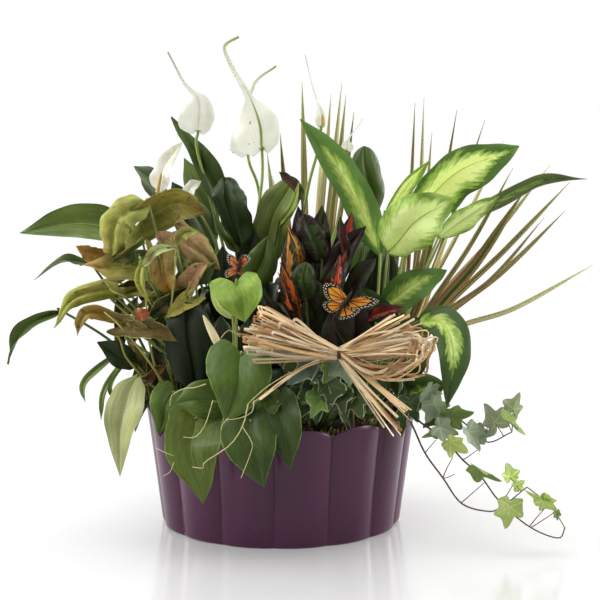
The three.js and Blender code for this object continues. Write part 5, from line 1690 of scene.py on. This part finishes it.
def strand(batch, rng, points):
    """One flat strand of raffia, twisted, wavy in width, and in one of the straw tints."""
    wide = rng.uniform(0.6, 1.6)
    beat = rng.uniform(5, 12)
    phase = rng.uniform(0, 6)
    tint = np.array(STRAWS[rng.integers(len(STRAWS))]) * rng.uniform(0.6, 1.1)

    def width(s):
        return wide * (1 + 0.15 * np.sin(s * beat + phase))

    tube(batch, points, width, tint, sides=6, steps=26, flat=0.28, twist=rng.uniform(-1.6, 1.6),
         start=TO_EYE + rng.normal(0, 0.35, 3))


def loop_strand(batch, rng, row, share):
    """A strand that goes out from the knot, folds over and comes back below itself."""
    start = near_knot(rng, share)
    finish = near_knot(rng, share)
    out = far_end(rng, row, share)
    fold = np.array(row["fold"]) * rng.uniform(0.4, 1.3)
    away = [math.copysign(rng.uniform(1, 4), out[0] - KNOT[0]), 0, 0]
    out_end = sheet(out)
    turn = sheet(out + fold / 2 + away)
    in_end = sheet(out + fold)
    home = (in_end + finish) / 2
    if "back" in row:
        home = sheet(np.array(row["back"]) + rng.normal(0, 3, 3))
    slack = rng.normal(0, 2.2, 3)
    middle = (start + out_end) / 2 + slack
    strand(batch, rng, [start, middle, out_end, turn, in_end, home - slack, finish])


def loose_strand(batch, rng, row, share):
    """A strand whose end is loose, and falls short of its row's line or runs a little past it."""
    start = near_knot(rng, share)
    end = far_end(rng, row, share)
    end[:2] += (end[:2] - KNOT[:2]) * rng.uniform(-0.14, 0.03)
    end = sheet(end)
    bend = (start + end) / 2
    if "bend" in row:
        bend = sheet(np.array(row["bend"]) + rng.normal(0, 1.5, 3))
    strand(batch, rng, [start, bend + rng.normal(0, 1, 3), end])


def tie(batch, rng, turn):
    """One turn of the dark tie round the knot."""
    ring = []
    for j in range(TIE_CORNERS + 1):
        a = 2 * math.pi * j / TIE_CORNERS
        out = [(turn - 1.5) * 0.9 + rng.normal(0, 0.2), 4.4 * math.cos(a), 5.6 * math.sin(a)]
        ring.append(sheet(KNOT) + out)
    tube(batch, ring, (0.7, 0.7), TIE_BROWN, sides=6, steps=28, flat=0.6)


def bow_pick(batch):
    """The pick that holds the bow, from the soil over the rim to the knot."""
    knot = sheet(KNOT)
    foot = np.array([*BOW_FOOT, SOIL_TOP - PICK_DEPTH])
    rise = np.array([*BOW_FOOT, knot[2] - 34])
    bend = rise + (knot - rise) * 0.3
    bend[2] = knot[2] - 8
    tube(batch, [foot, rise, bend, knot], (1.1, 1.1), PICK_BROWN, sides=8)


def make_bow():
    rng = np.random.default_rng(7)
    batch = Batch()
    for rows, draw in ((LOOPS, loop_strand), (TAILS, loose_strand)):
        for row in rows:
            for k in range(row["count"]):
                draw(batch, rng, row, (k + rng.uniform(0, 1)) / row["count"])
    for turn in range(TIE_TURNS):
        tie(batch, rng, turn)
    bow_pick(batch)
    batch.piece("raffia_bow", ["raffia"])


# Butterflies: each wing's root and outline, the head, middle and tail of the body, a point of the
# wire just below the tail, and the foot of the wire in the soil.
BUTTERFLIES = {
    "butterfly_right": dict(
        look="orange_wing",
        wings=[
            ([346, 300, -104], [[347, 296, -104], [337, 285, -101], [324, 283, -98],
                                [323, 292, -98], [328, 300, -99], [340, 304, -103]]),
            ([343, 305, -104], [[338, 302, -103], [326, 301, -99], [322, 306, -98],
                                [329, 313, -99], [336, 311, -101], [341, 309, -104]]),
            ([348, 301, -104], [[349, 300, -104], [365, 296, -108], [380, 301, -111],
                                [366, 308, -108], [350, 310, -105]]),
            ([344, 306, -104], [[352, 307, -105], [361, 310, -107], [353, 317, -106],
                                [339, 320, -104], [341, 311, -104]]),
        ],
        body=[[352, 291, -106.4], [346, 301, -106.2], [338, 311, -106.2]],
        drop=[334, 326, -106.5],
        foot=(76, -76),
    ),
    "butterfly_left": dict(
        look="red_wing",
        wings=[
            ([238, 266, -92], [[239, 264, -92], [234, 256, -89], [227, 254, -86],
                               [228, 263, -86], [236, 268, -91]]),
            ([238, 270, -92], [[234, 266, -90], [225, 271, -85], [226, 278, -85],
                               [237, 273, -92]]),
            ([238, 266, -92.5], [[238, 264, -92], [240, 257, -92.5], [246, 254, -94],
                                 [251, 258, -96], [247, 264, -95], [241, 268, -93]]),
            ([238, 270, -92.5], [[243, 267, -93], [243, 276, -92.5], [237, 274, -92]]),
        ],
        body=[[241, 256, -95], [239, 265, -94.2], [236, 275, -94.1]],
        drop=[234, 288, -94],
        foot=(-20, -56),
    ),
}
WING_HALF = 0.2
WHITE = (1, 1, 1)


def wing(batch, root, outline):
    """A wing fanned from its root, with a rounded, slightly scalloped edge."""
    base = sheet(root)
    stations = np.linspace(0, 1, 37)
    edge, _ = spline(sheets(outline), stations)
    shares = np.linspace(0, 1, 10)[:, None, None]
    surface = base + (edge[None] - base) * shares
    scallop = 1 - 0.02 * np.abs(np.sin(stations * math.pi * 6))[None, :, None] * shares**4
    surface = base + (surface - base) * scallop
    surface = surface - TO_EYE * (0.8 * np.sin(math.pi * shares))
    surface[0] = surface[0] + (surface[1] - surface[0]) * 0.25
    uv = np.stack(np.broadcast_arrays(stations[None, :], shares[..., 0]), -1)
    facing = np.cross(edge[-1] - base, edge[0] - base)
    if facing @ TO_EYE > 0:
        surface = surface[:, ::-1]
        uv = uv[:, ::-1]
    shell(batch, surface + TO_EYE * WING_HALF, surface - TO_EYE * WING_HALF, uv, WHITE)


def body_r(s):
    """The radius of a butterfly's body, which swells in the middle."""
    return 0.5 + 1.0 * np.sin(math.pi * np.clip(s * 1.1, 0, 1)) ** 0.6


def butterfly_body(batch, body, drop, foot):
    """The body of a butterfly with its wire and its two feelers."""
    head, middle, tail, low = sheets([*body, drop])
    tube(batch, [head, middle, tail], body_r, WHITE, sides=12, steps=22)
    end = np.array([*foot, SOIL_TOP - PICK_DEPTH])
    knee = np.array([*foot, SOIL_TOP + (low[2] - SOIL_TOP) * 0.55])
    tube(batch, [end, knee, low, tail], (0.7, 0.6), WHITE, sides=8, steps=24)
    for side in (-1, 1):
        path = [head, head + [side * 1.0, -0.5, 3], head + [side * 3.0, -1, 6]]
        tube(batch, path, (0.18, 0.12), WHITE, sides=5, steps=6)


def make_butterflies():
    for name, row in BUTTERFLIES.items():
        batch = Batch()
        for root, outline in row["wings"]:
            wing(batch, root, outline)
        batch.piece(name + "_wings", [row["look"]])
        batch = Batch()
        butterfly_body(batch, row["body"], row["drop"], row["foot"])
        batch.piece(name + "_body", ["insect"])


# ---------------------------------------------------------------- pot and soil

POT_POINTS = POT_LOBES * 28
FOOT_HEIGHT = 4
# The rounded foot: how far each ring is inside the base's radius, and its height.
FOOT_RINGS = [(5, 0.0), (3.2, 0.35), (1.9, 1.3), (1.1, 2.6)]
WALL_RINGS = 22
INNER_RINGS = 8
SOIL_POINTS = POT_LOBES * 10
SOIL_R = 121
SOIL_STEP = 3.0
# Strands of moss: how many are tried on the outer soil, out to a radius, and how many more in a
# band along the front of the rim. One that would end or bend beyond its limit is left out.
MOSS_STRANDS = 420
MOSS_R = 118
RIM_STRANDS = 300
RIM_BAND = (104, 119)
RIM_ARC = (-112, -48)
END_LIMIT = 120
BEND_LIMIT = 122
MOSS_TINTS = [paint(c) for c in ("#6b5638", "#8d7550", "#3f3322", "#b3a274", "#74743e")]


def lobe_at(a):
    """1 at the middle of a scallop and 0 at a valley between two."""
    return np.abs(np.cos((a - POT_PHASE) * POT_LOBES / 2))


def wall_r(z):
    """The radius of the flared wall at a height."""
    return POT_BASE_R + (POT_RIM_R - POT_BASE_R) * z / POT_HEIGHT


def bulge_at(z):
    """How far a scallop stands out from a valley at a height."""
    return POT_LOBE * 2 * (FOOT_BULGE + (1 - FOOT_BULGE) * z / POT_HEIGHT)


def pot_ring(radius, bulge, z, dip, count):
    """A scalloped ring of the pot, whose valleys dip."""
    a = 2 * math.pi * np.arange(count) / count + POT_PHASE
    r = radius + bulge * (lobe_at(a) ** 0.7 - 0.5)
    drop = dip * (1 - lobe_at(a) ** 0.8)
    return np.column_stack([r * np.cos(a), r * np.sin(a), z - drop])


def pot_outside():
    """The rings of the foot and the outer wall."""
    rings = []
    for inset, z in FOOT_RINGS:
        bulge = bulge_at(z) * 0.5 + bulge_at(FOOT_HEIGHT) * 0.5 * z / FOOT_HEIGHT
        rings.append(pot_ring(POT_BASE_R - inset, bulge, z, 0, POT_POINTS))
    for i in range(WALL_RINGS):
        share = i / (WALL_RINGS - 1)
        z = FOOT_HEIGHT + (POT_HEIGHT - FOOT_HEIGHT) * share
        radius = POT_BASE_R - 1 + (wall_r(POT_HEIGHT) - POT_BASE_R + 1) * share
        rings.append(pot_ring(radius, bulge_at(z), z, POT_DIP * share**3, POT_POINTS))
    return rings


def pot_lip():
    """The rings of the rounded lip."""
    rings = []
    half = POT_WALL / 2
    for degrees in (45, 90, 135, 180):
        turn = math.radians(degrees)
        radius = wall_r(POT_HEIGHT) - half + half * math.cos(turn)
        z = POT_HEIGHT + half * math.sin(turn) * 0.6
        rings.append(pot_ring(radius, bulge_at(POT_HEIGHT), z, POT_DIP, POT_POINTS))
    return rings


def pot_inside():
    """The rings of the inner wall, down to the floor."""
    rings = []
    for i in range(1, INNER_RINGS + 1):
        share = 1 - i / INNER_RINGS
        z = POT_HEEL + (POT_HEIGHT - POT_HEEL) * share
        radius = wall_r(POT_HEEL) - POT_WALL - 1 + (POT_RIM_R - wall_r(POT_HEEL) + 1) * share
        rings.append(pot_ring(radius, bulge_at(z), z, POT_DIP * share**3, POT_POINTS))
    rings.append(pot_ring(POT_BASE_R - POT_HEEL, bulge_at(0) * 0.5, POT_FLOOR, 0, POT_POINTS))
    return rings


def make_pot():
    batch = Batch()
    stack(batch, pot_outside() + pot_lip() + pot_inside(), [0, 0, 0], [0, 0, POT_FLOOR])
    batch.piece("pot", ["pot"], sharp=60)


def mound_at(r):
    """The height of the heaped soil at a distance from the pot's axis."""
    return SOIL_TOP + SOIL_RISE * (0.6 - 0.3 * (r / 96) ** 2)


def soil_rings(rng):
    """The rings of the soil, which is smooth against the pot and lumpy on top."""
    foot_r = POT_BASE_R - POT_HEEL - 2
    rings = [pot_ring(foot_r, bulge_at(0) * 0.5, POT_FLOOR + GAP, 0, SOIL_POINTS)]
    for z in (POT_HEEL + 1, 50, SOIL_TOP - 2):
        inset = 3 if z < 20 else 1.6
        rings.append(pot_ring(wall_r(z) - POT_WALL - inset, bulge_at(z), z, 0, SOIL_POINTS))
    for radius in np.arange(SOIL_R, 0, -SOIL_STEP):
        ring = pot_ring(radius, 0, mound_at(radius), 0, SOIL_POINTS)
        ring[:, 2] += rng.normal(0, 0.7, SOIL_POINTS)
        ring[:, :2] += rng.normal(0, 0.4, (SOIL_POINTS, 2)) * min(1, radius / 30)
        rings.append(ring)
    return rings


def moss_strand(batch, rng, r, a):
    """A bent strand of moss, bark or straw that lies on the soil, unless it would leave the pot."""
    x = r * math.cos(a)
    y = r * math.sin(a)
    z = mound_at(r)
    turn = rng.uniform(0, 2 * math.pi)
    half = rng.uniform(6, 20) / 2
    middle = [x + math.cos(turn) * half, y + math.sin(turn) * half, z + rng.uniform(1, 13)]
    turn += rng.normal(0, 0.7)
    end = [middle[0] + math.cos(turn) * half, middle[1] + math.sin(turn) * half, z + rng.uniform(0, 3)]
    if math.hypot(*end[:2]) > END_LIMIT or math.hypot(*middle[:2]) > BEND_LIMIT:
        return
    tint = MOSS_TINTS[rng.integers(len(MOSS_TINTS))]
    tube(batch, [[x, y, z - 0.5], middle, end], (0.45, 0.25), tint, sides=4, steps=6, slot=1)


def make_soil():
    rng = np.random.default_rng(5)
    batch = Batch()
    top = [0, 0, SOIL_TOP + SOIL_RISE * 0.6]
    stack(batch, soil_rings(rng), [0, 0, POT_FLOOR + GAP], top)
    for i in range(MOSS_STRANDS + RIM_STRANDS):
        r = MOSS_R * math.sqrt(rng.uniform(0.2, 1))
        a = rng.uniform(0, 2 * math.pi)
        if i >= MOSS_STRANDS:
            r = rng.uniform(*RIM_BAND)
            a = math.radians(rng.uniform(*RIM_ARC))
        moss_strand(batch, rng, r, a)
    batch.piece("soil", ["soil", "moss"], sharp=180)


# ---------------------------------------------------------------- studio

FLOOR_R = 0.95
FLOOR_CORNERS = 96
FLOOR_ROUGHNESS = 0.16
FLOOR_PALE = (0.75, 0.75, 0.75)
SURROUND_LIGHT = 0.2
# Soft boxes: name, place, aim, size, power, and what they light: all, the plant or the floor.
LAMPS = [
    ("top", (-0.2, 0.35, 2.0), (0, 0, 0.2), (2.2, 1.8), 40, "all"),
    ("key", (-1.2, -1.4, 1.8), (0, 0, 0.25), (0.7, 0.7), 24, "plant"),
    ("left", (-1.7, -0.3, 0.8), (0, 0, 0.15), (0.5, 1.4), 24, "plant"),
    ("right", (1.7, -0.3, 0.8), (0, 0, 0.15), (0.5, 1.4), 24, "plant"),
    ("rim_left", (-1.4, 0.9, 0.5), (0, 0, 0.15), (0.3, 1.0), 12, "plant"),
    ("rim_right", (1.4, 0.9, 0.5), (0, 0, 0.15), (0.3, 1.0), 16, "plant"),
    ("wash", (0, 0.2, 2.6), (0, 0.2, 0), (3.0, 3.0), 57, "floor"),
]


def direction(v):
    """The turn that points a lamp or a camera along v."""
    return Vector(v).to_track_quat("-Z", "Y").to_euler()


def make_floor(scene):
    """A round pale floor, a little glossy, that belongs to the stage."""
    turns = [2 * math.pi * k / FLOOR_CORNERS for k in range(FLOOR_CORNERS)]
    corners = [(FLOOR_R * math.cos(a), FLOOR_R * math.sin(a), 0) for a in turns]
    mesh = bpy.data.meshes.new("floor")
    mesh.from_pydata(corners, [], [tuple(range(FLOOR_CORNERS))])
    look = Look("floor", FLOOR_ROUGHNESS, specular=1.0)
    tone = look.ease(look.noise(3, 2.0), 0.98, 1.02)
    mesh.materials.append(look.finish(look.scaled(FLOOR_PALE, tone)))
    floor = bpy.data.objects.new("floor", mesh)
    scene.collection.objects.link(floor)
    return floor


def make_surround(scene):
    """A white surround, dimmer for the soft light that it sheds than in reflections."""
    world = bpy.data.worlds.new("studio")
    world.use_nodes = True
    tree = world.node_tree
    surround = tree.nodes["Background"]
    surround.inputs["Color"].default_value = (1, 1, 1, 1)
    ray = tree.nodes.new("ShaderNodeLightPath")
    dim = tree.nodes.new("ShaderNodeMapRange")
    dim.inputs["To Min"].default_value = 1.0
    dim.inputs["To Max"].default_value = SURROUND_LIGHT
    tree.links.new(ray.outputs["Is Diffuse Ray"], dim.inputs["Value"])
    tree.links.new(dim.outputs[0], surround.inputs["Strength"])
    scene.world = world


def make_lamp(scene, floor, name, place, aim, size, power, lights):
    """A soft box. One that lights only the floor casts no shadow."""
    light = bpy.data.lights.new(name, "AREA")
    light.shape = "RECTANGLE"
    light.size, light.size_y = size
    light.energy = power
    made = bpy.data.objects.new(name, light)
    made.location = place
    scene.collection.objects.link(made)
    made.rotation_euler = direction(np.array(aim) - np.array(place))
    if lights == "all":
        return
    group = bpy.data.collections.new(name + "_receivers")
    group.objects.link(floor)
    state = "INCLUDE" if lights == "floor" else "EXCLUDE"
    group.collection_objects[0].light_linking.link_state = state
    made.light_linking.receiver_collection = group
    light.use_shadow = lights != "floor"


def make_studio():
    scene = bpy.context.scene
    scene.view_settings.view_transform = "Standard"
    floor = make_floor(scene)
    make_surround(scene)
    for row in LAMPS:
        make_lamp(scene, floor, *row)


def make_camera():
    scene = bpy.context.scene
    camera = bpy.data.objects.new("camera", bpy.data.cameras.new("camera"))
    camera.data.lens = LENS
    camera.data.sensor_width = SENSOR
    aim = np.array([AIM_X, 0, AIM_Z]) * MM
    camera.location = aim + TO_EYE * EYE * MM
    camera.rotation_euler = direction(-TO_EYE)
    scene.collection.objects.link(camera)
    scene.camera = camera


make_camera()
make_studio()
make_pot()
make_soil()
make_lilies()
make_blooms()
make_vines()
make_croton_and_cane()
make_straps("dragon_plant_right", DRAGON_RIGHT_CROWN, DRAGON_RIGHT, 800, slim=0.74)
make_straps("dragon_plant_mid", DRAGON_MID_CROWN, DRAGON_MID, 830, slim=1.05)
make_ivy_centre()
make_ivy_trailing()
make_bow()
make_butterflies()
